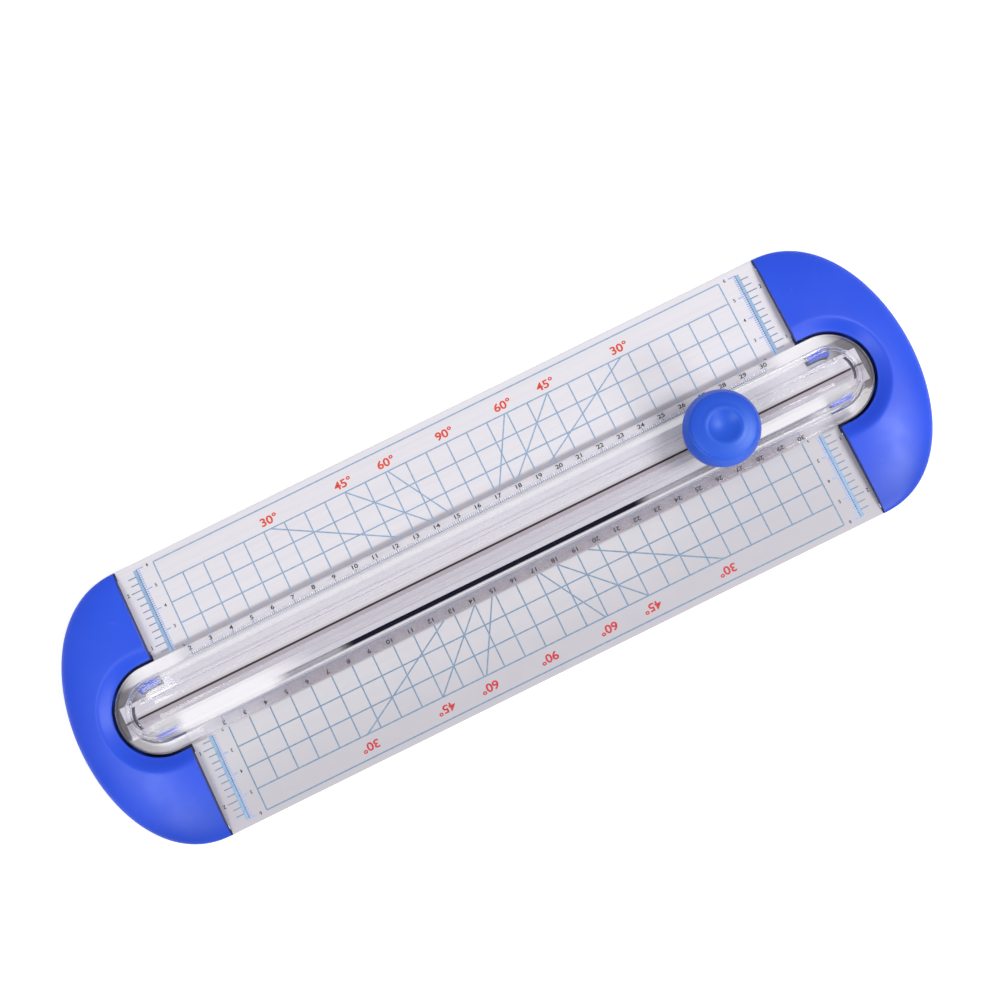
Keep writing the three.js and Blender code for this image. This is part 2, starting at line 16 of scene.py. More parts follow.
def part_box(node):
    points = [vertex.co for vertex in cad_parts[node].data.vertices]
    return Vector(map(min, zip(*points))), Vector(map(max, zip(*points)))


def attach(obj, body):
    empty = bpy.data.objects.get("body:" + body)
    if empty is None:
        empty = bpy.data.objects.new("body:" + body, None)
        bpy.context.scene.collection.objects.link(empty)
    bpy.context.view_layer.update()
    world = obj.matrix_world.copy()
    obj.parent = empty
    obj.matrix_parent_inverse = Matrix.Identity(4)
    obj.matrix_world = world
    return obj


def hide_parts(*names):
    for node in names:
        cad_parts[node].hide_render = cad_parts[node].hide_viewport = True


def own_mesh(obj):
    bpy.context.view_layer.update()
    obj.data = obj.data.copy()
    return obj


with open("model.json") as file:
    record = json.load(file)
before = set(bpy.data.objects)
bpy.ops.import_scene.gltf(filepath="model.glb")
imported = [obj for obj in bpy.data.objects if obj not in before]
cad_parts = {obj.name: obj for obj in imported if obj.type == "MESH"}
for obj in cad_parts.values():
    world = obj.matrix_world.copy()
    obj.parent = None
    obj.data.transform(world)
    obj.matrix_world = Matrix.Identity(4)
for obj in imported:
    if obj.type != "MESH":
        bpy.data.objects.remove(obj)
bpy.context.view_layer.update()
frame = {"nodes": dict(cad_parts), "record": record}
nodes = frame["nodes"]

MM = 0.001
SLOT_OF = {entry["node"]: entry["material_slot"] for entry in frame["record"]["subparts"]}

# ---- Places taken from the frame, in millimetres ----


def corners_mm(node):
    low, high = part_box(node)
    return np.array(low) / MM, np.array(high) / MM


BED_Z = corners_mm("scale_sheet_rear")[1][2]
RAIL_LOW, RAIL_HIGH = corners_mm("guide_rail")
RAIL_Z = RAIL_LOW[2]
KNOB_LOW, KNOB_HIGH = corners_mm("knob")
HEAD_X = (KNOB_LOW[0] + KNOB_HIGH[0]) / 2
CAP_LOW, CAP_HIGH = corners_mm("end_cap_right")
CAP_X = CAP_LOW[0]
CAP_REACH = CAP_HIGH[0] - CAP_X
CAP_HALF_WIDTH = CAP_HIGH[1]
BASE_BOTTOM = CAP_LOW[2]
RAIL_RADIUS = RAIL_HIGH[1]
SPINE = RAIL_HIGH[0] - RAIL_RADIUS
WELL_GAP = 1.3
WELL_RADIUS = RAIL_RADIUS + WELL_GAP

# Heights of the rail's steps above its underside, and where the head's channel ends round the spine's end.
CHANNEL_FLOOR, CHANNEL_ROOF = 1.3, 5.2
FLANGE_TOP = 2
RIDGE_TOP = 8.4
CHANNEL_END_RADIUS = 10.9

# ---- Shader nodes ----


class Shader:
    """A material under construction, with short calls for the nodes that it uses."""

    def __init__(self, name):
        self.material = bpy.data.materials.new(name)
        self.material.use_nodes = True
        self.tree = self.material.node_tree
        self.tree.nodes.clear()
        self.output = self.tree.nodes.new("ShaderNodeOutputMaterial")
        self.coords = self.node("ShaderNodeTexCoord").outputs["Object"]

    def node(self, kind, settings=None, **inputs):
        made = self.tree.nodes.new(kind)
        for key, value in (settings or {}).items():
            setattr(made, key, value)
        for key, value in inputs.items():
            self.feed(made.inputs[key.replace("_", " ")], value)
        return made

    def feed(self, socket, value):
        if isinstance(value, bpy.types.NodeSocket):
            self.tree.links.new(value, socket)
        elif value is not None:
            socket.default_value = value

    def math(self, operation, a, b=None):
        made = self.node("ShaderNodeMath", {"operation": operation})
        self.feed(made.inputs[0], a)
        self.feed(made.inputs[1], b)
        return made.outputs[0]

    def mix(self, factor, a, b):
        made = self.tree.nodes.new("ShaderNodeMix")
        made.data_type = "RGBA"
        self.feed(made.inputs[0], factor)
        self.feed(made.inputs[6], a)
        self.feed(made.inputs[7], b)
        return made.outputs[2]

    def scaled(self, scale):
        return self.node("ShaderNodeMapping", Vector=self.coords, Scale=scale).outputs[0]

    def noise(self, scale, detail=3.0, stretch=(1, 1, 1), distortion=0.0):
        made = self.node("ShaderNodeTexNoise", Vector=self.scaled(stretch), Scale=scale, Detail=detail)
        made.inputs["Roughness"].default_value = 0.55
        made.inputs["Distortion"].default_value = distortion
        return made.outputs[0]

    def speckle(self, scale):
        made = self.node("ShaderNodeTexVoronoi", Vector=self.coords, Scale=scale)
        return made.outputs["Distance"]

    def remap(self, value, low, high, to_low=0.0, to_high=1.0):
        made = self.node("ShaderNodeMapRange", Value=value)
        made.inputs[1].default_value = low
        made.inputs[2].default_value = high
        made.inputs[3].default_value = to_low
        made.inputs[4].default_value = to_high
        return made.outputs[0]

    def smooth(self, value, low, high):
        """Rises smoothly from 0 at low to 1 at high, or falls if low is above high."""
        made = self.node("ShaderNodeMapRange", {"interpolation_type": "SMOOTHSTEP"}, Value=value)
        rising = low < high
        made.inputs[1].default_value = min(low, high)
        made.inputs[2].default_value = max(low, high)
        made.inputs[3].default_value = 0.0 if rising else 1.0
        made.inputs[4].default_value = 1.0 if rising else 0.0
        return made.outputs[0]

    def band(self, value, low, high, soft):
        """1 between two places and 0 outside them, with soft sides."""
        rise = self.smooth(value, low - soft, low + soft)
        return self.math("MULTIPLY", rise, self.smooth(value, high + soft, high - soft))

    def product(self, *factors):
        return self.chain("MULTIPLY", factors)

    def highest(self, *values):
        return self.chain("MAXIMUM", values)

    def chain(self, operation, values):
        result = values[0]
        for value in values[1:]:
            result = self.math(operation, result, value)
        return result

    def distance(self, a, b):
        """The length of the step (a, b)."""
        squares = self.math("ADD", self.math("MULTIPLY", a, a), self.math("MULTIPLY", b, b))
        return self.math("SQRT", squares)

    def place(self):
        """The piece's own X, Y and Z, in millimetres."""
        split = self.node("ShaderNodeSeparateXYZ", Vector=self.coords)
        return [self.math("MULTIPLY", split.outputs[k], 1000.0) for k in range(3)]

    def blend(self, factor, a, b):
        mixed = self.node("ShaderNodeMixShader")
        self.feed(mixed.inputs[0], factor)
        self.feed(mixed.inputs[1], a)
        self.feed(mixed.inputs[2], b)
        return mixed.outputs[0]

    def bump(self, height, strength, distance, normal=None):
        made = self.node("ShaderNodeBump", Height=height, Strength=strength, Distance=distance)
        self.feed(made.inputs["Normal"], normal)
        return made.outputs[0]

    def principled(self, **inputs):
        return self.node("ShaderNodeBsdfPrincipled", **inputs).outputs[0]

    def matt(self, color):
        return self.node("ShaderNodeBsdfDiffuse", Color=color).outputs[0]

    def finish(self, surface):
        self.feed(self.output.inputs["Surface"], surface)
        return self.material


def rgb(red, green, blue):
    """An sRGB colour of 0 to 255 as the linear RGBA that shaders take."""

    def linear(value):
        share = value / 255
        return share / 12.92 if share <= 0.04045 else ((share + 0.055) / 1.055) ** 2.4

    return (linear(red), linear(green), linear(blue), 1.0)


def well_shade(s):
    """Painted shade on a cap: 1 in its well and on its inner edge, and a little towards its front corner."""
    x, y, z = s.place()
    across = s.math("ABSOLUTE", x)
    from_end = s.math("MAXIMUM", s.math("SUBTRACT", across, SPINE), 0.0)
    from_well = s.math("SUBTRACT", s.distance(from_end, y), WELL_RADIUS)
    in_well = s.product(s.smooth(from_well, 0.35, 0.1), s.smooth(z, BED_Z + 3.4, BED_Z + 2.2))
    shoulders = s.band(s.math("ABSOLUTE", y), 10.5, 14.5, 1.5)
    in_well = s.product(in_well, s.remap(shoulders, 0, 1, 1, 0.6))
    at_bed = s.smooth(z, BED_Z + 4.2, BED_Z + 2.8)
    inner_edge = s.product(s.smooth(across, CAP_X + 0.3, CAP_X + 0.1), at_bed, 0.9)
    # Painted shade on the front corner, which faces away from the light.
    front_corner = s.product(s.smooth(y, -32, -60), 0.3)
    return s.highest(in_well, inner_edge, front_corner)


def moulded_plastic(name, color, shade, roughness, grain=0.05, gloss=(1, 1, 1), dark=None):
    """Moulded plastic: fine spark texture, faint flow streaks and a few rubbed, shinier patches."""
    s = Shader(name)
    cloud = s.noise(18, detail=2)
    flow = s.noise(60, detail=4, stretch=(0.25, 1, 1), distortion=0.6)
    tint = s.mix(s.remap(cloud, 0.35, 0.65), color, shade)
    tint = s.mix(s.remap(flow, 0.45, 0.75, 0, 0.25), tint, shade)
    # Painted shade from dark(), mixed towards navy.
    if dark:
        tint = s.mix(s.product(dark(s), 0.94), tint, rgb(4, 8, 62))
    rubbed = s.remap(s.noise(45, detail=5), 0.4, 0.7, -0.05, 0.06)
    pits = s.remap(s.speckle(2600), 0.0, 0.6)
    fine = s.noise(5200, detail=2)
    surface = s.bump(pits, grain, 0.00004)
    surface = s.bump(fine, grain * 0.8, 0.00003, surface)
    surface = s.bump(cloud, 0.06, 0.0004, surface)
    rough = s.math("ADD", rubbed, roughness)
    shader = s.principled(Base_Color=tint, Roughness=rough, Normal=surface, IOR=1.5)
    shader.node.inputs["Specular Tint"].default_value = (*gloss, 1)
    return s.finish(shader)


def brushed_metal(name, color, roughness, along=(1, 1, 1), anisotropy=0.5):
    s = Shader(name)
    lines = s.noise(2200, detail=4, stretch=along)
    stain = s.noise(140, detail=4)
    tint = s.mix(s.remap(stain, 0.4, 0.8, 0, 0.35), color, (0.28, 0.27, 0.27, 1))
    rough = s.math("ADD", s.remap(lines, 0.3, 0.7, -0.08, 0.1), roughness)
    normal = s.bump(lines, 0.12, 0.00002)
    shader = s.principled(Base_Color=tint, Metallic=1.0, Roughness=rough, Normal=normal)
    shader.node.inputs["Anisotropic"].default_value = anisotropy
    return s.finish(shader)


def rubber_material():
    s = Shader("rubber_black")
    dust = s.remap(s.noise(400, detail=6), 0.5, 0.75)
    tint = s.mix(dust, rgb(34, 34, 36), rgb(74, 72, 70))
    normal = s.bump(s.noise(3500, detail=3), 0.25, 0.00006)
    return s.finish(s.principled(Base_Color=tint, Roughness=0.85, Normal=normal))


def streaked(s, base):
    """Adds the faint lengthwise streaks and warm blotches of the bed, and gives its roughness and normal."""
    streak = s.noise(700, detail=4, stretch=(0.02, 1, 1))
    base = s.mix(s.remap(streak, 0.42, 0.68, 0, 0.1), base, rgb(176, 176, 190))
    blotch = s.noise(90, detail=3)
    warm = s.mix(0.07, base, rgb(238, 214, 208))
    base = s.mix(s.remap(blotch, 0.4, 0.62, 0, 0.8), base, warm)
    normal = s.bump(s.noise(2600, detail=3), 0.05, 0.00004)
    normal = s.bump(streak, 0.06, 0.00003, normal)
    rough = s.remap(blotch, 0.3, 0.7, 0.42, 0.55)
    return s.principled(Base_Color=base, Roughness=rough, Normal=normal, IOR=1.45)


# Strips along the rail, as ranges of Y. Behind the cut Y is positive.
UNDER_FRONT_FLANGE = (-20.4, -13.4)
UNDER_FRONT_EDGE = (-20.5, -16.6)
STAIN = (-2.9, -0.5)
FRONT_FLANGE = (-19.9, -13.9)
FRONT_RIDGE = (-14.1, -9.6)
FRONT_RIDGE_FOOT = (-14.0, -13.2)
FRONT_RIDGE_TOP = (-12.9, -10.8)
FRONT_VEIL = (-10.6, -4.6)
FRONT_TRACK = (-10.2, -4.0)
REAR_RIDGE = (10.8, 14.3)
REAR_END_FLANGE = (13.8, 19.8)
REAR_FLANGE = (15.6, 19.7)

# Where a look comes in along X, from nothing to full.
FLANGE_DARK_LEFT, FLANGE_DARK_RIGHT = (-150, -96), (152, 120)
LAMP_LEFT, LAMP_RIGHT, RIDGE_LAMP_LEFT = (-88, -124), (70, 128), (-104, -116)
# The same for both ends, as distances from the middle of the bed.
HAZE_FADE, LAMP_FADE = (158, 148), (162, 152)
EDGE_SHADOW_FADE = (146, 153)
VEIL_INNER_FADE, VEIL_OUTER_FADE = (150, 157), (175, 167)
FLANGE_INNER_FADE, FLANGE_OUTER_FADE = (142, 150), (179, 160)
TONGUE_DARK_FRONT, TONGUE_DARK_REAR = (164, 174), (165, 176)
# How far the dark line on the front ridge reaches along X.
DARK_LINE, FAINT_DARK_LINE = (-80, 68), (-106, 148)

HAZE_MIDDLE, HAZE_END = 0.3, 0.06


def edge_shadow(s, base, x, y):
    """Shade under the outer edge of the front flange, near both ends of the rail."""
    near_end = s.smooth(s.math("ABSOLUTE", x), *EDGE_SHADOW_FADE)
    return s.mix(s.product(s.band(y, *UNDER_FRONT_EDGE, 0.8), near_end, 0.7), base, rgb(120, 112, 124))


def sheet_material():
    """The matt white sheets, with painted shade towards the front edge of the bed and near the rail."""
    s = Shader("sheet_print")
    x, y, _ = s.place()
    # Painted shade: darker towards the front edge of the bed, and on its front right.
    front = s.mix(s.smooth(y, -58, -20), rgb(189, 186, 194), rgb(206, 204, 210))
    front = s.mix(s.product(s.smooth(x, 30, 120), 0.5), front, rgb(184, 181, 188))
    base = s.mix(s.smooth(y, -2, 2), front, rgb(223, 220, 227))
    along = s.product(s.smooth(x, *FLANGE_DARK_LEFT), s.smooth(x, *FLANGE_DARK_RIGHT))
    # Painted shadow under the rail's front flange.
    under_flange_shade = s.product(s.band(y, *UNDER_FRONT_FLANGE, 0.5), along, 0.75)
    base = s.mix(under_flange_shade, base, rgb(142, 134, 144))
    # Painted shadow in a band beside the rail's rear edge.
    beside_rail_shadow = s.product(s.smooth(y, 19.4, 20.4), s.smooth(y, 23.6, 21.6), 0.75)
    base = s.mix(beside_rail_shadow, base, rgb(142, 138, 150))
    return s.finish(streaked(s, edge_shadow(s, base, x, y)))


def base_material():
    """The white base. Its tongues lie deep in the wells under the rail's ends, grey with painted shade."""
    s = Shader("bed_white")
    x, y, _ = s.place()
    across = s.math("ABSOLUTE", x)
    # Painted shade: the tongues turn grey towards the rail's ends.
    front, rear = s.smooth(across, *TONGUE_DARK_FRONT), s.smooth(across, *TONGUE_DARK_REAR)
    shade = s.mix(s.smooth(y, -6, 2), front, rear)
    # Painted shade: darker in front.
    base = s.mix(s.smooth(y, -2, 2), rgb(196, 194, 202), rgb(222, 220, 226))
    return s.finish(streaked(s, s.mix(shade, edge_shadow(s, base, x, y), rgb(60, 50, 56))))


def strip_material():
    """White plastic of the cutting strip: a scored groove, dark with painted shade, a stain beside it,
    darker in front.
    """
    s = Shader("strip_white")
    _, y, z = s.place()
    streak = s.noise(900, detail=4, stretch=(0.015, 1, 1))
    base = s.mix(s.remap(streak, 0.4, 0.7, 0, 0.25), rgb(230, 226, 231), rgb(200, 192, 200))
    base = s.mix(s.smooth(y, 3.2, 0.2), base, rgb(195, 189, 195))
    base = s.mix(s.product(s.band(y, *STAIN, 0.25), 0.5), base, rgb(160, 143, 154))
    # Painted shade down in the scored groove.
    base = s.mix(s.smooth(z, BED_Z - 0.1, BED_Z - 0.6), base, rgb(58, 48, 56))
    normal = s.bump(streak, 0.08, 0.00003)
    return s.finish(s.principled(Base_Color=base, Roughness=0.5, Normal=normal))


def rail_haze(s, x, y, scuff):
    """Matt haze of the rail, speckled and darker with painted shade on the middle of its front flange."""
    grain = s.mix(s.remap(scuff, 0.4, 0.7), rgb(226, 223, 230), rgb(210, 206, 214))
    along = s.product(s.smooth(x, *FLANGE_DARK_LEFT), s.smooth(x, *FLANGE_DARK_RIGHT))
    # Painted shade, speckled, on the middle of the front flange.
    speckled = s.mix(s.remap(s.noise(1400, detail=2), 0.4, 0.6), rgb(150, 142, 152), rgb(184, 177, 186))
    return s.matt(s.mix(s.product(s.band(y, *FRONT_FLANGE, 0.3), along), grain, speckled))


def lamp_glare(s, x, y, z, across):
    """Painted light on the rail, as a share from 0 to 1: mirrored lamps, and lit patches near its ends."""
    upper = s.smooth(z, RAIL_Z + 1.6, RAIL_Z + 3.2)
    ends = s.highest(s.smooth(x, *LAMP_LEFT), s.product(s.smooth(x, *LAMP_RIGHT), 0.9))
    track = s.product(s.band(y, *FRONT_TRACK, 0.4), ends)
    ridge = s.product(s.band(y, *FRONT_RIDGE, 0.3), s.smooth(x, *RIDGE_LAMP_LEFT))
    foot = s.product(s.band(y, *FRONT_RIDGE_FOOT, 0.2), 0.6)
    rear = s.product(s.band(y, *REAR_RIDGE, 0.3), 0.4)
    raised = s.product(s.highest(track, ridge, foot, rear), upper, s.smooth(across, *LAMP_FADE), 0.75)
    # Painted light near the ends, on the front track and on the rear flange.
    round_front = s.product(s.smooth(across, *VEIL_INNER_FADE), s.smooth(across, *VEIL_OUTER_FADE), 0.26)
    round_rear = s.product(s.smooth(across, *FLANGE_INNER_FADE), s.smooth(across, *FLANGE_OUTER_FADE), 0.58)
    veil = s.product(s.band(y, *FRONT_VEIL, 1.2), round_front)
    flange = s.product(s.band(y, *REAR_END_FLANGE, 0.5), round_rear)
    return s.highest(raised, veil, flange)


def dark_line(s, x, y, z):
    """Where the top of the front ridge mirrors the dark room, as a share from 0 to 1."""
    along = s.highest(s.band(x, *DARK_LINE, 7), s.product(s.band(x, *FAINT_DARK_LINE, 5), 0.42))
    top = s.smooth(z, RAIL_Z + RIDGE_TOP - 2, RAIL_Z + RIDGE_TOP - 1)
    return s.product(s.band(y, *FRONT_RIDGE_TOP, 0.18), along, top, 0.985)


def end_wall(s, y, z, across):
    """Where the channel's end wall lies, as a share from 0 to 1: a painted dark arc seen through the glass.
    """
    past = s.math("SUBTRACT", across, SPINE)
    ring = s.band(s.distance(past, y), CHANNEL_END_RADIUS - 0.15, CHANNEL_END_RADIUS + 0.15, 0.08)
    below_roof = s.smooth(z, RAIL_Z + CHANNEL_ROOF + 0.2, RAIL_Z + CHANNEL_ROOF - 0.2)
    above_floor = s.smooth(z, RAIL_Z + CHANNEL_FLOOR - 0.1, RAIL_Z + CHANNEL_FLOOR + 0.1)
    return s.product(ring, s.smooth(past, 8, 9), below_roof, above_floor, 0.7)


def clear_material():
    """Clear moulded plastic with a slight haze. Light on its way to a lamp passes through to the bed below.

    The rail has no room round it to mirror, so mirrored lamps and dark lines are painted into its colour as
    glows and dark patches. They fade where it is seen from the side.
    """
    s = Shader("rail_clear")
    x, y, z = s.place()
    across = s.math("ABSOLUTE", x)
    wave = s.noise(55, detail=2, stretch=(0.2, 1, 1))
    scuff = s.noise(1500, detail=4, stretch=(0.05, 1, 1))
    rough = s.remap(scuff, 0.45, 0.75, 0.03, 0.12)
    normal = s.bump(wave, 0.03, 0.0003)
    glass = s.principled(Base_Color=(0.97, 0.97, 0.98, 1), Roughness=rough, Normal=normal, IOR=1.49)
    glass.node.inputs["Transmission Weight"].default_value = 1.0
    view = s.node("ShaderNodeNewGeometry").outputs["Incoming"]
    from_above = s.smooth(s.node("ShaderNodeSeparateXYZ", Vector=view).outputs["Z"], 0.78, 0.93)
    middle = s.product(s.smooth(across, *HAZE_FADE), from_above)
    rear_flange = s.product(s.band(y, *REAR_FLANGE, 0.4), middle, 0.38)
    haze_share = s.math("ADD", s.remap(middle, 0, 1, HAZE_END, HAZE_MIDDLE), rear_flange)
    seen = s.blend(haze_share, glass, rail_haze(s, x, y, scuff))
    glow = s.node("ShaderNodeEmission", Color=rgb(250, 248, 252), Strength=1.0).outputs[0]
    # Painted reflections of the lamps and painted light, glowing though the rail is no lamp.
    seen = s.blend(s.product(lamp_glare(s, x, y, z, across), from_above), seen, glow)
    # Painted reflection of the dark room on the front ridge.
    seen = s.blend(s.product(dark_line(s, x, y, z), from_above), seen, s.matt(rgb(4, 7, 28)))
    # Painted dark arc at the channel's end wall.
    seen = s.blend(s.product(end_wall(s, y, z, across), from_above), seen, s.matt(rgb(52, 54, 92)))
    path = s.node("ShaderNodeLightPath")
    ghost = s.node("ShaderNodeBsdfTransparent", Color=(0.9, 0.9, 0.92, 1)).outputs[0]
    hidden = s.highest(path.outputs["Is Shadow Ray"], path.outputs["Is Diffuse Ray"])
    return s.finish(s.blend(hidden, seen, ghost))


def ink(name, color, worn):
    """Printed ink, a little uneven where it was laid thin."""
    s = Shader(name)
    patch = s.remap(s.noise(500, detail=5), 0.35, 0.7)
    tint = s.mix(patch, color, worn)
    normal = s.bump(s.noise(4000, detail=2), 0.1, 0.00002)
    return s.finish(s.principled(Base_Color=tint, Roughness=0.5, Normal=normal))


CAP_GLOSS = (0.85, 0.93, 1.0)
KNOB_GLOSS = (0.65, 0.86, 1.0)
LOOKS = {
    "bed_white": base_material(),
    "sheet_print": sheet_material(),
    "strip_white": strip_material(),
    "cap_blue": moulded_plastic(
        "cap_blue", rgb(37, 83, 228), rgb(31, 74, 219), 0.41, 0.08, gloss=CAP_GLOSS, dark=well_shade
    ),
    "knob_blue": moulded_plastic(
        "knob_blue", rgb(36, 89, 212), rgb(31, 80, 205), 0.42, 0.03, gloss=KNOB_GLOSS
    ),
    "rail_clear": clear_material(),
    "carriage_white": moulded_plastic("carriage_white", rgb(240, 240, 242), rgb(226, 226, 232), 0.4),
    "holder_green": moulded_plastic("holder_green", rgb(16, 158, 80), rgb(10, 140, 66), 0.38),
    "rubber": rubber_material(),
    "blade_steel": brushed_metal("blade_steel", (0.62, 0.63, 0.65, 1), 0.22, anisotropy=0.7),
    "axle_steel": brushed_metal("axle_steel", (0.55, 0.55, 0.57, 1), 0.25, along=(1, 0.05, 1)),
    "spring_steel": brushed_metal("spring_steel", (0.42, 0.42, 0.44, 1), 0.3),
    "screw_steel": brushed_metal("screw_steel", (0.52, 0.52, 0.54, 1), 0.3),
}
GRID_INK = {
    1: ink("ink_blue_rear", rgb(130, 158, 190), rgb(156, 178, 204)),
    # The front ink is a darker copy of the rear ink: painted shade, as on the front sheet.
    -1: ink("ink_blue_front", rgb(108, 136, 164), rgb(132, 158, 182)),
}
BAR_INK = ink("ink_blue_bar", rgb(136, 170, 206), rgb(156, 186, 216))
EDGE_INK = ink("ink_blue_edge", rgb(150, 172, 222), rgb(172, 188, 226))
ANGLE_INK = {
    # The front ink is a darker copy of the rear ink, a little more crimson: painted shade, as on the front
    # sheet.
    1: ink("ink_red_rear", rgb(214, 58, 36), rgb(222, 84, 58)),
    -1: ink("ink_red_front", rgb(192, 36, 44), rgb(206, 64, 66)),
}
GREY_INK = ink("ink_grey", rgb(40, 36, 46), rgb(66, 62, 72))
TICK_INK = ink("ink_tick", rgb(112, 132, 160), rgb(138, 154, 180))
# Painted glints, made with the ink material.
GLINT_INK = ink("ink_glint", rgb(238, 238, 244), rgb(224, 224, 232))
FAINT_INK = ink("ink_faint", rgb(170, 166, 178), rgb(190, 186, 196))

# ---- Meshes ----


def add_mesh(name, vertices, faces, smooth=35):
    """A mesh object from vertices in millimetres, shaded smooth except across edges above an angle."""
    mesh = bpy.data.meshes.new(name)
    mesh.from_pydata([tuple(float(c) * MM for c in v) for v in vertices], [], faces)
    obj = bpy.data.objects.new(name, mesh)
    bpy.context.scene.collection.objects.link(obj)
    shade(obj, smooth)
    return obj


def shade(obj, angle):
    built = bmesh.new()
    built.from_mesh(obj.data)
    bmesh.ops.recalc_face_normals(built, faces=built.faces)
    for face in built.faces:
        face.smooth = True
    limit = math.radians(angle)
    for edge in built.edges:
        edge.smooth = len(edge.link_faces) == 2 and edge.calc_face_angle(0.0) < limit
    built.to_mesh(obj.data)
    built.free()


def loft(name, loops, ring=True, smooth=35):
    """Joins loops of equal length. A ring closes on its first loop, and any other loft gets flat ends."""
    count = len(loops[0])
    vertices = [point for loop in loops for point in loop]
    faces = []
    for i in range(len(loops) if ring else len(loops) - 1):
        here, there = i * count, (i + 1) % len(loops) * count
        for j in range(count):
            nxt = (j + 1) % count
            faces.append((here + j, there + j, there + nxt, here + nxt))
    if not ring:
        last = (len(loops) - 1) * count
        faces.append(tuple(range(count)))
        faces.append(tuple(last + j for j in reversed(range(count))))
    return add_mesh(name, vertices, faces, smooth)


def lathe(name, profile, segments=96, at=(0, 0, 0), smooth=35):
    """Turns (radius, height) points about the Z axis. A profile that starts off the axis is closed."""
    vertices, faces = [], []
    rings = []
    for radius, height in profile:
        if radius < 1e-6:
            rings.append([len(vertices)])
            vertices.append((at[0], at[1], at[2] + height))
            continue
        ring = []
        for k in range(segments):
            angle = 2 * math.pi * k / segments
            ring.append(len(vertices))
            x = at[0] + radius * math.cos(angle)
            vertices.append((x, at[1] + radius * math.sin(angle), at[2] + height))
        rings.append(ring)
    closed = len(rings[0]) > 1
    pairs = list(zip(rings, rings[1:])) + ([(rings[-1], rings[0])] if closed else [])
    for a, b in pairs:
        for k in range(segments):
            nxt = (k + 1) % segments
            if len(a) == 1 and len(b) == 1:
                continue
            if len(a) == 1:
                faces.append((a[0], b[nxt], b[k]))
            elif len(b) == 1:
                faces.append((a[k], a[nxt], b[0]))
            else:
                faces.append((a[k], a[nxt], b[nxt], b[k]))
    return add_mesh(name, vertices, faces, smooth)


def rounded(points, radius, steps=4, closed=True):
    """A polygon with each corner turned into a short arc. Radius is one number or one for each corner."""
    radii = radius if isinstance(radius, (list, tuple)) else [radius] * len(points)
    result = []
    count = len(points)
    for i, corner in enumerate(points):
        if not closed and i in (0, count - 1):
            result.append(tuple(corner))
            continue
        p = Vector(corner)
        before, after = Vector(points[i - 1]) - p, Vector(points[(i + 1) % count]) - p
        reach = min(radii[i], before.length * 0.45, after.length * 0.45)
        if reach < 1e-6:
            result.append(tuple(corner))
            continue
        start, end = p + before.normalized() * reach, p + after.normalized() * reach
        for k in range(steps + 1):
            t = k / steps
            result.append(tuple(start * (1 - t) ** 2 + p * (2 * t * (1 - t)) + end * t**2))
    return result


def slab(name, outline, low, high):
    """A flat slab with an outline of (x, y) points."""
    return loft(name, [[(x, y, z) for x, y in outline] for z in (low, high)], ring=False)


def arc(radius, start, end, steps):
    """Points round the right-hand end of the spine, from one angle to another."""
    angles = [start + (end - start) * k / steps for k in range(steps + 1)]
    return [(SPINE + radius * math.cos(angle), radius * math.sin(angle)) for angle in angles]


def block(name, low, high):
    (x0, y0, z0), (x1, y1, z1) = low, high
    vertices = [(x, y, z) for z in (z0, z1) for y in (y0, y1) for x in (x0, x1)]
    faces = [(0, 2, 3, 1), (4, 5, 7, 6), (0, 1, 5, 4), (2, 6, 7, 3), (0, 4, 6, 2), (1, 3, 7, 5)]
    return add_mesh(name, vertices, faces)


def apply_modifiers(obj):
    bpy.context.view_layer.update()
    evaluated = obj.evaluated_get(bpy.context.evaluated_depsgraph_get())
    mesh = bpy.data.meshes.new_from_object(evaluated)
    obj.modifiers.clear()
    obj.data = mesh


def combine(obj, tools, operation="UNION"):
    """Joins or cuts with the tools, which are then removed."""
    for tool in tools:
        modifier = obj.modifiers.new("combine", "BOOLEAN")
        modifier.operation = operation
        modifier.solver = "MANIFOLD"
        modifier.object = tool
        apply_modifiers(obj)
        bpy.data.objects.remove(tool)


def soften(obj, width, segments=2, angle=30):
    """Rounds the sharp edges of a piece, as a mould does."""
    bevel = obj.modifiers.new("soften", "BEVEL")
    bevel.width = width * MM
    bevel.segments = segments
    bevel.limit_method = "ANGLE"
    bevel.angle_limit = math.radians(angle)
    bevel.harden_normals = False


def dress(obj, body, slot, *replaced, material=None):
    """Gives a piece its material and its body, and hides the CAD nodes that it stands for."""
    obj.data.materials.clear()
    obj.data.materials.append(material or LOOKS[slot])
    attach(obj, body)
    if replaced:
        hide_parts(*replaced)
    return obj


def dress_node(name, bevel=0.0):
    """Gives a CAD node its material, and rounds its edges without touching its mesh."""
    obj = nodes[name]
    obj.data.materials.clear()
    obj.data.materials.append(LOOKS[SLOT_OF[name]])
    weld = obj.modifiers.new("weld", "WELD")
    weld.merge_threshold = 1e-6
    flat = obj.modifiers.new("flat", "DECIMATE")
    flat.decimate_type = "DISSOLVE"
    flat.angle_limit = math.radians(0.5)
    if bevel:
        soften(obj, bevel)


# ---- The base ----

for name, bevel in [("base_plate", 0.35), ("cutting_strip", 0.12)]:
    dress_node(name, bevel)
for name in ("scale_sheet_rear", "scale_sheet_front"):
    dress_node(name)

# ---- The end caps, modelled at the right-hand end ----

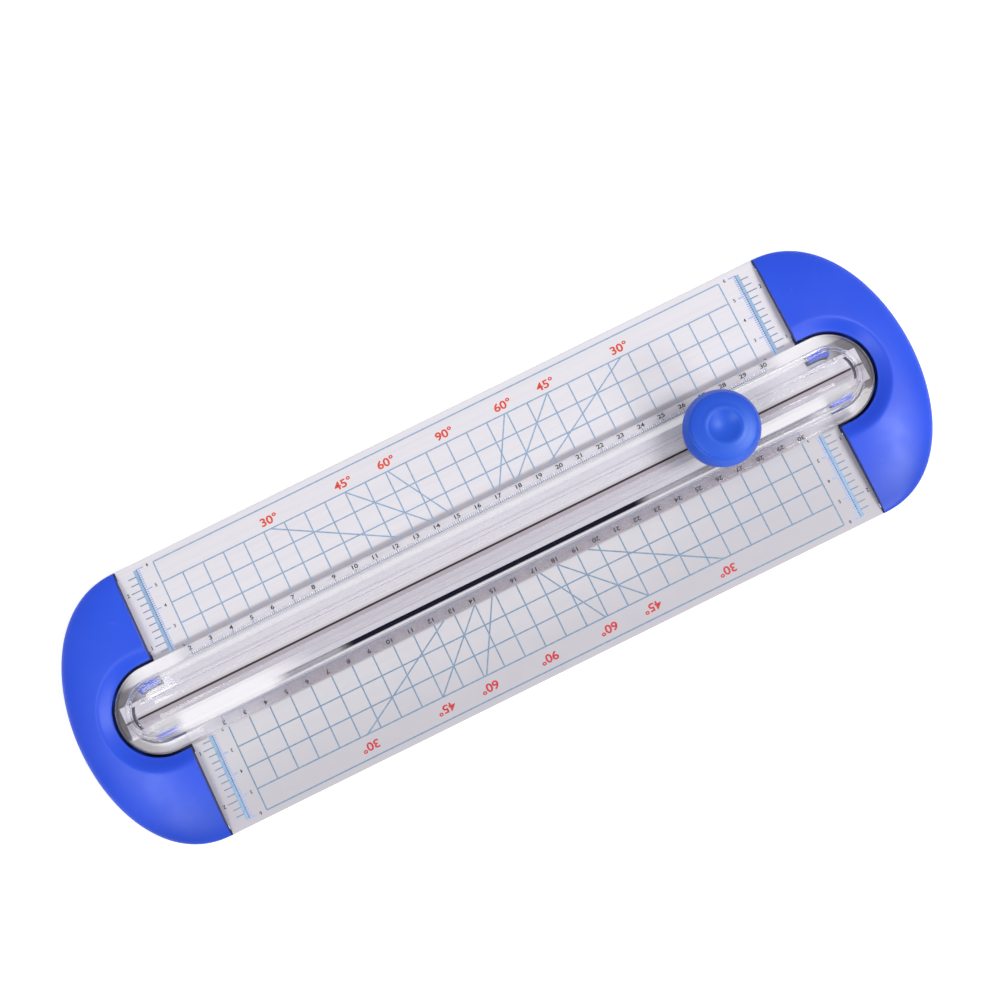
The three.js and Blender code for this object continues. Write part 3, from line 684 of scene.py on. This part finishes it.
CAP_FATNESS = 2.2
CAP_RISE = 7.5
CAP_INNER_SHARE = 0.75
CAP_RAMP_LENGTH = 25.0
CAP_SKIN = 2.0
CAP_WALL = 2.4
CAP_FOOT_ROUND = 0.6
WELL_RIM_RISE = 3.0
WELL_BEVEL = 5.4
WELL_BEVEL_EASE = 0.12
WELL_UNDERSIDE = 3.0
WELL_FLOOR = 5.0
RIM_ROUND = 0.5
LUG_START, LUG_TURN = 158.4, 0.46
LUG_INNER, LUG_OUTER = 10, 12.4
LUG_LOW, LUG_HIGH = 4.5, 15.5
HOOK_X = (158.6, 163)
HOOK_INNER, HOOK_OUTER = 12.2, 12.9
HOOK_LOW = 14.6
BOSS_X, BOSS_Y = 167.5, 40
BOSS_RADIUS, BOSS_LOW, BOSS_HIGH = 3.5, 8.2, 17.4
HOLE_RADIUS, HOLE_LOW, HOLE_HIGH = 1.5, 7, 15.9


def cap_top(x, y):
    """Height of the cap's top: a dome that is low at the inner edge and dished round the well."""
    reach = (max(0.0, x - CAP_X) / CAP_REACH) ** CAP_FATNESS + (y / CAP_HALF_WIDTH) ** 2
    dome = math.sqrt(max(0.0, 1 - reach**1.25))
    along = min(1.0, max(0.0, (x - CAP_X) / CAP_RAMP_LENGTH))
    ramp = CAP_INNER_SHARE + (1 - CAP_INNER_SHARE) * math.sin(along * math.pi / 2)
    from_well = math.hypot(max(0.0, x - SPINE), y) - WELL_RADIUS
    share = max(0.0, from_well / WELL_BEVEL)
    if share > 1 - WELL_BEVEL_EASE:
        share = 1 - max(0.0, 1 + WELL_BEVEL_EASE - share) ** 2 / (4 * WELL_BEVEL_EASE)
    return BED_Z + WELL_RIM_RISE + (CAP_RISE * dome * ramp - WELL_RIM_RISE) * share


def well_reach(c, s):
    """How far the well's wall is from the middle of the cap's inner edge, in the direction (c, s)."""
    spare = SPINE - CAP_X
    to_side = WELL_RADIUS / max(abs(s), 1e-9)
    to_round = spare * c + math.sqrt(WELL_RADIUS**2 - (spare * s) ** 2)
    return to_side if to_side * c <= spare else to_round


def cap_section(turn, solid_edge):
    """The cap cut upright through the middle of its inner edge: over the top, down and back beneath."""
    out_x = CAP_REACH * max(0.0, math.cos(turn)) ** (2 / CAP_FATNESS)
    out_y = CAP_HALF_WIDTH * math.sin(turn)
    outline = math.hypot(out_x, out_y)
    c, s = out_x / outline, out_y / outline
    well = well_reach(c, s)
    rim = well + RIM_ROUND

    def place(radius, height):
        return (CAP_X + radius * c, radius * s, height)

    def top(radius):
        return cap_top(CAP_X + radius * c, radius * s)

    loop = []
    rim_steps, top_steps, inside_steps = 5, 46, 8
    for k in range(rim_steps):
        angle = k / rim_steps * math.pi / 2
        drop = RIM_ROUND * (1 - math.sin(angle))
        loop.append(place(rim - RIM_ROUND * math.cos(angle), top(rim) - drop))
    for k in range(top_steps + 1):
        share = math.sin(k / top_steps * math.pi / 2)
        radius = rim + (outline - rim) * share
        loop.append(place(radius, BED_Z if k == top_steps else top(radius)))
    inner, outer = well + CAP_WALL, outline - CAP_WALL
    loop.append(place(outline - 0.1, BASE_BOTTOM + CAP_FOOT_ROUND))
    loop.append(place(outline - 0.1 - CAP_FOOT_ROUND, BASE_BOTTOM))
    loop.append(place(outer, BASE_BOTTOM))
    lowest = BED_Z + 0.3
    for k in range(inside_steps + 1):
        radius = outer + (inner - outer) * k / inside_steps
        loop.append(place(radius, lowest if solid_edge else max(top(radius) - CAP_SKIN, lowest)))
    loop.append(place(inner, WELL_UNDERSIDE))
    loop.append(place(well, WELL_UNDERSIDE))
    return loop


def lug(side):
    """A rib that starts straight and turns with the rail's end."""
    start, end = math.pi / 2, math.pi / 2 - LUG_TURN
    inner = [(LUG_START, LUG_INNER), *arc(LUG_INNER, start, end, 12)]
    outer = [(LUG_START, LUG_OUTER), *arc(LUG_OUTER, start, end, 12)]
    return slab("lug", [(x, side * y) for x, y in inner + outer[::-1]], LUG_LOW, LUG_HIGH)


def end_cap(name, end):
    sections = 132
    turns = [math.pi / 2 * (1 - 2 * k / sections) for k in range(sections + 1)]
    # Sections between these two turns would crowd together at the cap's inner edge.
    crowded_from, crowded_to = 1.53, 1.57
    kept = [turn for turn in turns if not crowded_from <= abs(turn) <= crowded_to]
    solid_from = math.radians(90 - 3.6)
    cap = loft(name, [cap_section(turn, abs(turn) > solid_from) for turn in kept], ring=False, smooth=38)
    floor_x, floor_radius = CAP_X + 0.4, WELL_RADIUS + 1
    round_end = arc(floor_radius, -math.pi / 2, math.pi / 2, 48)
    outline = [(floor_x, -floor_radius), *round_end, (floor_x, floor_radius)]
    additions = [slab("well_floor", outline, WELL_UNDERSIDE, WELL_FLOOR)]
    holes = []
    for side in (-1, 1):
        near, far = sorted((side * HOOK_INNER, side * HOOK_OUTER))
        additions.append(lug(side))
        additions.append(block("hook", (HOOK_X[0], near, HOOK_LOW), (HOOK_X[1], far, LUG_HIGH)))
        boss = [(0, BOSS_LOW), (BOSS_RADIUS, BOSS_LOW), (BOSS_RADIUS, BOSS_HIGH), (0, BOSS_HIGH)]
        additions.append(lathe("boss", boss, 40, (BOSS_X, side * BOSS_Y, 0)))
        hole = [(0, HOLE_LOW), (HOLE_RADIUS, HOLE_LOW), (HOLE_RADIUS, HOLE_HIGH), (0, HOLE_HIGH)]
        holes.append(lathe("hole", hole, 24, (BOSS_X, side * BOSS_Y, 0)))
    combine(cap, additions)
    combine(cap, holes, "DIFFERENCE")
    if end < 0:
        cap.data.transform(Matrix.Rotation(math.pi, 4, "Z"))
    shade(cap, 38)
    soften(cap, 0.3, segments=3, angle=50)
    dress(cap, "base", "cap_blue", name)


end_cap("end_cap_right", 1)
end_cap("end_cap_left", -1)

# ---- The guide rail ----

CHANNEL_HALF, SLOT_HALF = 5.3, 2.35
TRACK_HALF = 11.3
HOLLOW_INNER, HOLLOW_OUTER, HOLLOW_ROOF = 6.9, 13, 3.6
FLANGE_START, FLANGE_ROUND = 14.2, 0.7
LEDGE_INNER, LEDGE_OUTER, LEDGE_HIGH = 12.6, 13.3, 0.6
FILLING_X, FILLING_HALF, FILLING_RADIUS = 168, 7, 13.2
# Each point is a distance from the spine, a height and a corner radius.
RAIL_SECTION = [
    (SLOT_HALF, 0, 0.15),
    (HOLLOW_INNER, 0, 0.15),
    (HOLLOW_INNER, HOLLOW_ROOF, 0.2),
    (HOLLOW_OUTER, HOLLOW_ROOF, 0.2),
    (HOLLOW_OUTER, 0, 0.15),
    (19.4, 0, 0.3),
    (RAIL_RADIUS, 0.4, 0.3),
    (RAIL_RADIUS, FLANGE_TOP - FLANGE_ROUND, 0.4),
    (RAIL_RADIUS - FLANGE_ROUND, FLANGE_TOP, 0.4),
    (FLANGE_START + 0.7, FLANGE_TOP, 0.3),
    (FLANGE_START, FLANGE_TOP + 0.6, 0.5),
    (12.8, RIDGE_TOP - 0.6, 0.5),
    (12.3, RIDGE_TOP, 0.3),
    (11.2, RIDGE_TOP, 0.3),
    (10.7, 8, 0.2),
    (TRACK_HALF, 7.5, 0.15),
    (TRACK_HALF, CHANNEL_ROOF, 0.2),
    (CHANNEL_HALF, CHANNEL_ROOF, 0.25),
    (CHANNEL_HALF, CHANNEL_FLOOR, 0.2),
    (SLOT_HALF, CHANNEL_FLOOR, 0.15),
]


def end_arc(radius, half_width):
    """The part of an arc round the right-hand end of the spine that lies within a half width of it."""
    reach = math.asin(half_width / radius)
    return arc(radius, -reach, reach, 16)


def guide_rail():
    """The section swept round the spine, with its channel and its closed ends."""
    section = rounded([(r, z) for r, z, _ in RAIL_SECTION], [corner for _, _, corner in RAIL_SECTION], 4)
    loops = []
    arc_steps = 56
    for end in (1, -1):
        for k in range(arc_steps + 1):
            angle = -math.pi / 2 + math.pi * k / arc_steps + (math.pi if end < 0 else 0)
            c, s = math.cos(angle), math.sin(angle)
            loops.append([(end * SPINE + r * c, r * s, RAIL_Z + z) for r, z in section])
    rail = loft("guide_rail_clear", loops)
    additions = []
    for end in (-1, 1):
        for side in (-1, 1):
            x0, x1 = sorted(end * x for x in HOOK_X)
            y0, y1 = sorted((side * LEDGE_INNER, side * LEDGE_OUTER))
            additions.append(block("ledge", (x0, y0, RAIL_Z), (x1, y1, RAIL_Z + LEDGE_HIGH)))
        round_end = [(end * x, end * y) for x, y in end_arc(FILLING_RADIUS, FILLING_HALF)]
        start, stop = (end * FILLING_X, -end * FILLING_HALF), (end * FILLING_X, end * FILLING_HALF)
        additions.append(slab("filling", [start, *round_end, stop], RAIL_Z, RAIL_Z + HOLLOW_ROOF + 0.1))
    combine(rail, additions)
    cuts = []
    for half, low, high in (
        (CHANNEL_HALF, CHANNEL_FLOOR, CHANNEL_ROOF + 1),
        (SLOT_HALF, -1, CHANNEL_FLOOR + 1),
    ):
        right = end_arc(CHANNEL_END_RADIUS, half)
        cuts.append(slab("channel", right + [(-x, -y) for x, y in right], RAIL_Z + low, RAIL_Z + high))
    combine(rail, cuts, "DIFFERENCE")
    shade(rail, 24)
    dress(rail, "rail", "rail_clear", "guide_rail")


guide_rail()

# ---- The cutter head ----

# The knob's heights are above the underside of the rail.
DIMPLE_RADIUS, DIMPLE_DEPTH = 6.7, 1.85
DIMPLE_RIM, DIMPLE_RIM_RISE = 27.95, 0.18
CROWN_RADIUS, CROWN_EDGE = 13.6, 27
KNOB_MOUTH = 15.2
BLADE_Z = RAIL_Z + 9.3


def knob():
    """A cap that widens downwards from a domed crown, with a dimple for the finger."""
    outline = []
    bowl = (DIMPLE_RADIUS**2 + DIMPLE_DEPTH**2) / (2 * DIMPLE_DEPTH)
    bowl_steps, crown_steps = 16, 12
    for k in range(bowl_steps + 1):
        radius = DIMPLE_RADIUS * k / bowl_steps
        outline.append((radius, DIMPLE_RIM - DIMPLE_DEPTH + bowl - math.sqrt(bowl**2 - radius**2)))
    for k in range(1, crown_steps + 1):
        share = k / crown_steps
        radius = DIMPLE_RADIUS + (CROWN_RADIUS - DIMPLE_RADIUS) * share
        rim = DIMPLE_RIM_RISE * math.sin(min(1, share * 2.4) * math.pi)
        outline.append((radius, DIMPLE_RIM + rim - (DIMPLE_RIM - CROWN_EDGE) * share**2.4))
    step = [(CROWN_RADIUS + out, CROWN_EDGE - down) for out, down in ((0, 0), (0.15, 0.5), (0.9, 0.8))]
    wall = [(15.6, 24.2), (16.45, 22), (16.7, 21), (16, KNOB_MOUTH)]
    side = rounded(step + wall, [0, 0.2, 0.7, 1.6, 1.6, 0.8, 0], 5, closed=False)
    mouth = [(16, KNOB_MOUTH), (14.1, KNOB_MOUTH), (13.8, 19.4), (8.8, 19.4), (8.6, 24.2), (0, 24.2)]
    inside = rounded(mouth, 0.4, 3, closed=False)
    made = lathe("knob_cap", outline + side[1:] + inside[1:], 160, (HEAD_X, 0, RAIL_Z), smooth=28)
    dress(made, "press_knob", "knob_blue", "knob")


knob()
for name, bevel in [("carriage", 0.18), ("blade_holder", 0.15)]:
    dress_node(name, bevel)

BLADE_RADIUS, BLADE_HOLE, BLADE_HALF = 7.5, 1.08, 0.2
BLADE_GRIND_START, BLADE_EDGE_START, BLADE_EDGE_HALF = 6.5, 7.44, 0.03
AXLE_RADIUS, AXLE_HALF, AXLE_CHAMFER = 1, 1.85, 0.15


def across_rail(obj):
    """Turns a lathed piece so that its axis is the blade's."""
    place = Matrix.Translation((HEAD_X * MM, 0, BLADE_Z * MM))
    obj.data.transform(place @ Matrix.Rotation(math.pi / 2, 4, "X"))


def rotary_blade():
    """A disc ground to a double bevel."""
    half = [(BLADE_HOLE, BLADE_HALF), (BLADE_GRIND_START, BLADE_HALF), (BLADE_EDGE_START, BLADE_EDGE_HALF)]
    lower = [(radius, -height) for radius, height in half]
    blade = lathe("rotary_blade_disc", [*lower, (BLADE_RADIUS, 0), *half[::-1]], 160, smooth=3)
    across_rail(blade)
    dress(blade, "blade", "blade_steel", "rotary_blade")


def blade_axle():
    narrow, short = AXLE_RADIUS - AXLE_CHAMFER, AXLE_HALF - AXLE_CHAMFER
    half = [(0, AXLE_HALF), (narrow, AXLE_HALF), (AXLE_RADIUS, short)]
    lower = [(radius, -height) for radius, height in half]
    axle = lathe("blade_axle_pin", lower + half[::-1], 48)
    across_rail(axle)
    dress(axle, "press_knob", "axle_steel", "blade_axle")


rotary_blade()
blade_axle()


def screw(node, body, place, head, shank, bottom, under, top):
    """A pan-head screw that points up, with a cross recess in its head. The sizes are radii and heights."""
    x, y = place
    profile = [
        (0, bottom),
        (head - 0.5, bottom),
        (head - 0.15, bottom + 0.2),
        (head, bottom + 0.6),
        (head, under),
        (shank, under),
        (shank, top - 0.5),
        (0, top),
    ]
    made = lathe(node + "_cross", profile, 48, (x, y, 0))
    long, short, depth = head * 0.62, head * 0.16, (under - bottom) * 0.55
    for half_x, half_y in ((long, short), (short, long)):
        low, high = (x - half_x, y - half_y, bottom - 1), (x + half_x, y + half_y, bottom + depth)
        combine(made, [block("recess", low, high)], "DIFFERENCE")
    shade(made, 30)
    dress(made, body, "screw_steel", node)


SIDES = {"front": -1, "rear": 1}
# Radii of the head and the shank, and heights of the head's two faces and of the point.
CAP_SCREW_RADII, CAP_SCREW_HEIGHTS = (2.8, 1.35), (3.2, 4.9, 13.8)
HOLDER_SCREW_RADII = (1.4, 0.8)
HOLDER_SCREW_HEIGHTS = (RAIL_Z + 17, RAIL_Z + 17.75, RAIL_Z + 21.4)
HOLDER_SCREW_Y = 11.7

for x_name, end in (("left", -1), ("right", 1)):
    for y_name, side in SIDES.items():
        place = (end * BOSS_X, side * BOSS_Y)
        screw(f"cap_screw_{y_name}_{x_name}", "base", place, *CAP_SCREW_RADII, *CAP_SCREW_HEIGHTS)
for y_name, side in SIDES.items():
    place = (HEAD_X, side * HOLDER_SCREW_Y)
    screw(f"holder_screw_{y_name}", "press_knob", place, *HOLDER_SCREW_RADII, *HOLDER_SCREW_HEIGHTS)

SPRING_LOW, SPRING_HIGH = RAIL_Z + 8, RAIL_Z + 17.8
SPRING_Y = 5.6
SPRING_RADIUS, SPRING_WIRE, SPRING_TURNS = 1.9, 0.3, 5.5


def smooth_step(share):
    return share * share * (3 - 2 * share)


def press_spring(node, y):
    """A compression spring whose coils lie closer at its two ends."""
    loops = []
    steps, sides = int(SPRING_TURNS * 28), 10
    rise = SPRING_HIGH - SPRING_LOW - 2 * SPRING_WIRE
    for k in range(steps + 1):
        t = k / steps
        angle = 2 * math.pi * SPRING_TURNS * t
        z = SPRING_LOW + SPRING_WIRE + rise * (smooth_step(t) * 0.35 + t * 0.65)
        outward = Vector((math.cos(angle), math.sin(angle), 0))
        centre = Vector((HEAD_X, y, z)) + outward * SPRING_RADIUS
        ring = []
        for j in range(sides):
            a = 2 * math.pi * j / sides
            up = Vector((0, 0, SPRING_WIRE * math.sin(a)))
            ring.append(tuple(centre + outward * (SPRING_WIRE * math.cos(a)) + up))
        loops.append(ring)
    spring = dress(loft(node + "_coil", loops, ring=False, smooth=60), "head", "spring_steel", node)
    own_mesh(spring)


for y_name, side in SIDES.items():
    press_spring(f"press_spring_{y_name}", side * SPRING_Y)

# ---- Rubber feet ----

FOOT_X, FOOT_Y = 140, 50
FOOT_RADIUS, FOOT_HIGH = 6, 3
FOOT_DISH_RADIUS, FOOT_DISH_DEPTH = 2.2, 0.25
FOOT_SECTION = [
    (0, FOOT_DISH_DEPTH),
    (FOOT_DISH_RADIUS, FOOT_DISH_DEPTH),
    (FOOT_DISH_RADIUS + 0.3, 0),
    (FOOT_RADIUS - 0.4, 0),
    (FOOT_RADIUS, 0.4),
    (FOOT_RADIUS, FOOT_HIGH),
    (0, FOOT_HIGH),
]

for x_name, x in (("left", -FOOT_X), ("middle", 0), ("right", FOOT_X)):
    for y_name, side in SIDES.items():
        node = f"foot_{y_name}_{x_name}"
        pad = lathe(node + "_pad", rounded(FOOT_SECTION, 0.3, 3, closed=False), 72, (x, side * FOOT_Y, 0))
        dress(pad, "base", "rubber", node)

# ---- Print on the bed and on the rail ----

INK_HEIGHT = 0.02
# A printed face is its height, its body and its slot.
BED = (BED_Z, "base", "sheet_print")
RAIL = (RAIL_Z + FLANGE_TOP, "rail", "rail_clear")


class Print:
    """Thin printed strokes on one level face, gathered into one mesh."""

    def __init__(self, face):
        self.level, self.body, self.slot = face
        self.vertices = []
        self.faces = []

    def stroke(self, start, end, width, lift=0.0):
        (x0, y0), (x1, y1) = start, end
        length = math.hypot(x1 - x0, y1 - y0)
        nx, ny = -(y1 - y0) / length * width / 2, (x1 - x0) / length * width / 2
        first = len(self.vertices)
        for z in (self.level, self.level + INK_HEIGHT + lift):
            for x, y, sign in ((x0, y0, 1), (x1, y1, 1), (x1, y1, -1), (x0, y0, -1)):
                self.vertices.append((x + sign * nx, y + sign * ny, z))
        for face in ((0, 1, 2, 3), (7, 6, 5, 4), (0, 4, 5, 1), (1, 5, 6, 2), (2, 6, 7, 3), (3, 7, 4, 0)):
            self.faces.append(tuple(first + k for k in face))

    def place(self, name, material):
        dress(add_mesh(name, self.vertices, self.faces), self.body, self.slot, material=material)


def label(text, x, y, size, side, face, weight=0.02, wide=1.0):
    """A short generic number or angle, as a flat mesh centred on a point, turned if it is on the front."""
    curve = bpy.data.curves.new("label", "FONT")
    curve.body = text
    curve.size = size * MM
    curve.align_x = "CENTER"
    curve.align_y = "CENTER"
    curve.extrude = INK_HEIGHT / 2 * MM
    curve.offset = size * weight * MM
    made = bpy.data.objects.new("label", curve)
    bpy.context.scene.collection.objects.link(made)
    bpy.context.view_layer.update()
    mesh = bpy.data.meshes.new_from_object(made.evaluated_get(bpy.context.evaluated_depsgraph_get()))
    bpy.data.objects.remove(made)
    turn = Matrix.Rotation(math.pi if side < 0 else 0, 4, "Z") @ Matrix.Diagonal((wide, 1, 1, 1))
    mesh.transform(Matrix.Translation((x * MM, y * MM, (face[0] + INK_HEIGHT / 2) * MM)) @ turn)
    return mesh


def place_labels(name, face, material, meshes):
    _, body, slot = face
    joined = bmesh.new()
    for mesh in meshes:
        joined.from_mesh(mesh)
    bmesh.ops.remove_doubles(joined, verts=joined.verts, dist=1e-7)
    result = bpy.data.meshes.new(name)
    joined.to_mesh(result)
    joined.free()
    obj = bpy.data.objects.new(name, result)
    bpy.context.scene.collection.objects.link(obj)
    dress(obj, body, slot, material=material)


LINE = 0.62
CENTIMETRE, INCH = 10, 25.4
RAIL_EDGE = 20.3
FRAME_X, FRAME_Y = 140, 60
GRID_Y = 50
ANGLES = (30, 45, 60, 90)
ANGLE_LABEL_Y = {1: 53.75, -1: -55}
UNDER_RAIL = (10.9, 14.2)
BAR_X, BAR_WIDTH = 149, 1.8
TICK_X = 149.8
INCH_TICK_END, EIGHTH_TICK_END = 154.6, 153.4
INCH_NUMBER_X = 156.2
EDGE_X = 148.4
CENTIMETRE_EDGE_END, MILLIMETRE_EDGE_END = 144.9, 146.9
CENTIMETRE_NUMBER_X = 143


def printed_grid(side, name):
    """The grid and the angle lines of one sheet, and the marks that show faintly under the rail."""
    grid, under = Print(BED), Print(BED)
    for y in (30, 40, GRID_Y, FRAME_Y):
        grid.stroke((-FRAME_X, side * y), (FRAME_X, side * y), LINE)
    for x in range(-FRAME_X, FRAME_X + 1, CENTIMETRE):
        top = FRAME_Y if abs(x) == FRAME_X else GRID_Y
        grid.stroke((x, side * RAIL_EDGE), (x, side * top), LINE, 0.002)
        under.stroke((x, side * UNDER_RAIL[0]), (x, side * UNDER_RAIL[1]), 0.4)
    for degrees in ANGLES[:3]:
        slope = math.tan(math.radians(degrees))
        for sign in (-1, 1):
            near, far = (sign * RAIL_EDGE / slope, side * RAIL_EDGE), (sign * GRID_Y / slope, side * GRID_Y)
            grid.stroke(near, far, LINE, 0.004)
    grid.place(f"print_grid_{name}", GRID_INK[side])
    under.place(f"print_under_rail_{name}", FAINT_INK)


def printed_ends(side, name):
    """The blue bars at both ends of one sheet, with inch ticks outside and a millimetre scale inside."""
    bars, edges, ticks = Print(BED), Print(BED), Print(BED)
    numbers = []
    for end in (-1, 1):
        bars.stroke((end * BAR_X, side * RAIL_EDGE), (end * BAR_X, side * FRAME_Y), BAR_WIDTH)
        for eighth in range(7, 19):
            y = eighth * INCH / 8
            reach = INCH_TICK_END if eighth % 8 == 0 else EIGHTH_TICK_END
            ticks.stroke((end * TICK_X, side * y), (end * reach, side * y), 0.5)
        for y in range(21, FRAME_Y + 1):
            reach = CENTIMETRE_EDGE_END if y % CENTIMETRE == 0 else MILLIMETRE_EDGE_END
            edges.stroke((end * EDGE_X, side * y), (end * reach, side * y), 0.6)
        for number in range(2, 7):
            x, y = end * CENTIMETRE_NUMBER_X, side * number * CENTIMETRE
            numbers.append(label(str(number), x, y, 2.2, side, BED))
        for number in (1, 2):
            x, y = end * INCH_NUMBER_X, side * number * INCH
            numbers.append(label(str(number), x, y, 2.4, side, BED))
    bars.place(f"print_bars_{name}", BAR_INK)
    edges.place(f"print_edges_{name}", EDGE_INK)
    ticks.place(f"print_ticks_{name}", TICK_INK)
    place_labels(f"print_numbers_{name}", BED, GREY_INK, numbers)


def printed_angles(side, name):
    labels = []
    for degrees in ANGLES:
        x = GRID_Y / math.tan(math.radians(degrees))
        for sign in (-1, 1) if degrees < 90 else (1,):
            place_x = sign * x + side * 0.9
            text = f"{degrees}°"
            labels.append(label(text, place_x, ANGLE_LABEL_Y[side], 5.1, side, BED, 0.025, 1.18))
    place_labels(f"print_angles_{name}", BED, ANGLE_INK[side], labels)


for y_name, side in (("rear", 1), ("front", -1)):
    printed_grid(side, y_name)
    printed_ends(side, y_name)
    printed_angles(side, y_name)

RULE_START = 15
RULE_LINE_Y = 14.95
RULE_ZERO_END = 19.2
RULE_TICK_ENDS = {10: 16.9, 5: 16.2, 1: 15.8}
RULE_NUMBER_Y = 17.9


def rail_scale(side, name):
    """The ruler on one flange of the rail, in centimetres from the left-hand end."""
    ticks = Print(RAIL)
    ticks.stroke((-FRAME_X, side * RULE_LINE_Y), (FRAME_X, side * RULE_LINE_Y), 0.3)
    for x in range(-FRAME_X, FRAME_X + 1):
        step = next(size for size in RULE_TICK_ENDS if x % size == 0)
        width = 0.36 if step == CENTIMETRE else 0.14
        ticks.stroke((x, side * RULE_START), (x, side * RULE_TICK_ENDS[step]), width, 0.002)
    ticks.stroke((-FRAME_X, side * RULE_START), (-FRAME_X, side * RULE_ZERO_END), 0.36, 0.004)
    ticks.place(f"rail_ticks_{name}", TICK_INK)
    labels = []
    for number in range(2, 31):
        x = (number - 16) * CENTIMETRE
        labels.append(label(str(number), x, side * RULE_NUMBER_Y, 2.6, side, RAIL, 0.025, 1.3))
    place_labels(f"rail_numbers_{name}", RAIL, GREY_INK, labels)


def rail_glints():
    """Painted glints: bright ends of the fine ribs between the ruler's ticks, each of its own length."""
    bright = Print(RAIL)
    for k in range(-FRAME_X, FRAME_X):
        length = 0.5 + 0.9 * abs(math.sin(k * 1.7) * math.cos(k * 0.61))
        bright.stroke((k + 0.5, RULE_START), (k + 0.5, RULE_START + length), 0.42)
    bright.place("rail_glints_rear", GLINT_INK)


rail_scale(1, "rear")
rail_glints()
rail_scale(-1, "front")

# ---- Floor, light and camera ----


def stage_material(name, color, glow):
    s = Shader(name)
    soft = s.remap(s.noise(3, detail=2), 0.3, 0.7)
    tint = s.mix(soft, color, tuple(c * 0.985 for c in color[:3]) + (1,))
    shader = s.principled(Base_Color=tint, Roughness=0.8)
    shader.node.inputs["Emission Color"].default_value = (1, 1, 1, 1)
    shader.node.inputs["Emission Strength"].default_value = glow
    return s.finish(shader)


FLOOR_HALF = 4000
corners = [(-1, -1), (1, -1), (1, 1), (-1, 1)]
floor = add_mesh("floor", [(x * FLOOR_HALF, y * FLOOR_HALF, 0) for x, y in corners], [(0, 1, 2, 3)])
floor.location.z = -0.1 * MM
floor.data.materials.append(stage_material("floor_white", (0.9, 0.9, 0.91, 1), 0.45))


def soft_light(name, place, target, size, power, color=(1, 1, 1)):
    """A square lamp. Places and size are in metres."""
    lamp = bpy.data.lights.new(name, "AREA")
    lamp.shape = "RECTANGLE"
    lamp.size, lamp.size_y = size, size
    lamp.energy = power
    lamp.color = color
    obj = bpy.data.objects.new(name, lamp)
    bpy.context.scene.collection.objects.link(obj)
    obj.location = place
    obj.rotation_euler = (Vector(target) - Vector(place)).to_track_quat("-Z", "Y").to_euler()


soft_light("key", (0.66, -0.28, 1.1), (0, 0, 0), 0.46, 7.8, (1, 0.99, 0.98))
soft_light("fill", (-0.66, -0.22, 1.1), (0, 0, 0), 0.46, 4.6)
soft_light("front", (0.42, -0.74, 0.66), (0.08, 0, 0), 0.3, 2.2)

world = bpy.data.worlds.new("studio")
bpy.context.scene.world = world
world.use_nodes = True
background = world.node_tree.nodes["Background"]
background.inputs["Color"].default_value = (0.97, 0.98, 1.0, 1)
background.inputs["Strength"].default_value = 0.42

# The camera hangs over the rail and leans a little. Its place is in millimetres and its turn in degrees.
CAMERA_PLACE = (4.92, -35.85, BED_Z + 532.65)
CAMERA_TURN = (5.277, 1.967, -26.134)
camera_data = bpy.data.cameras.new("camera")
camera_data.sensor_width = 36
camera_data.lens = 43.66
camera_data.clip_start, camera_data.clip_end = 0.01, 20
camera = bpy.data.objects.new("camera", camera_data)
camera.location = Vector(CAMERA_PLACE) * MM
camera.rotation_euler = [math.radians(angle) for angle in CAMERA_TURN]
bpy.context.scene.collection.objects.link(camera)
bpy.context.scene.camera = camera

bpy.context.scene.view_settings.view_transform = "Standard"
bpy.context.scene.view_settings.look = "None"
cycles = bpy.context.scene.cycles
cycles.use_denoising = True
cycles.transparent_max_bounces = 24
cycles.transmission_bounces = 16
cycles.max_bounces = 20
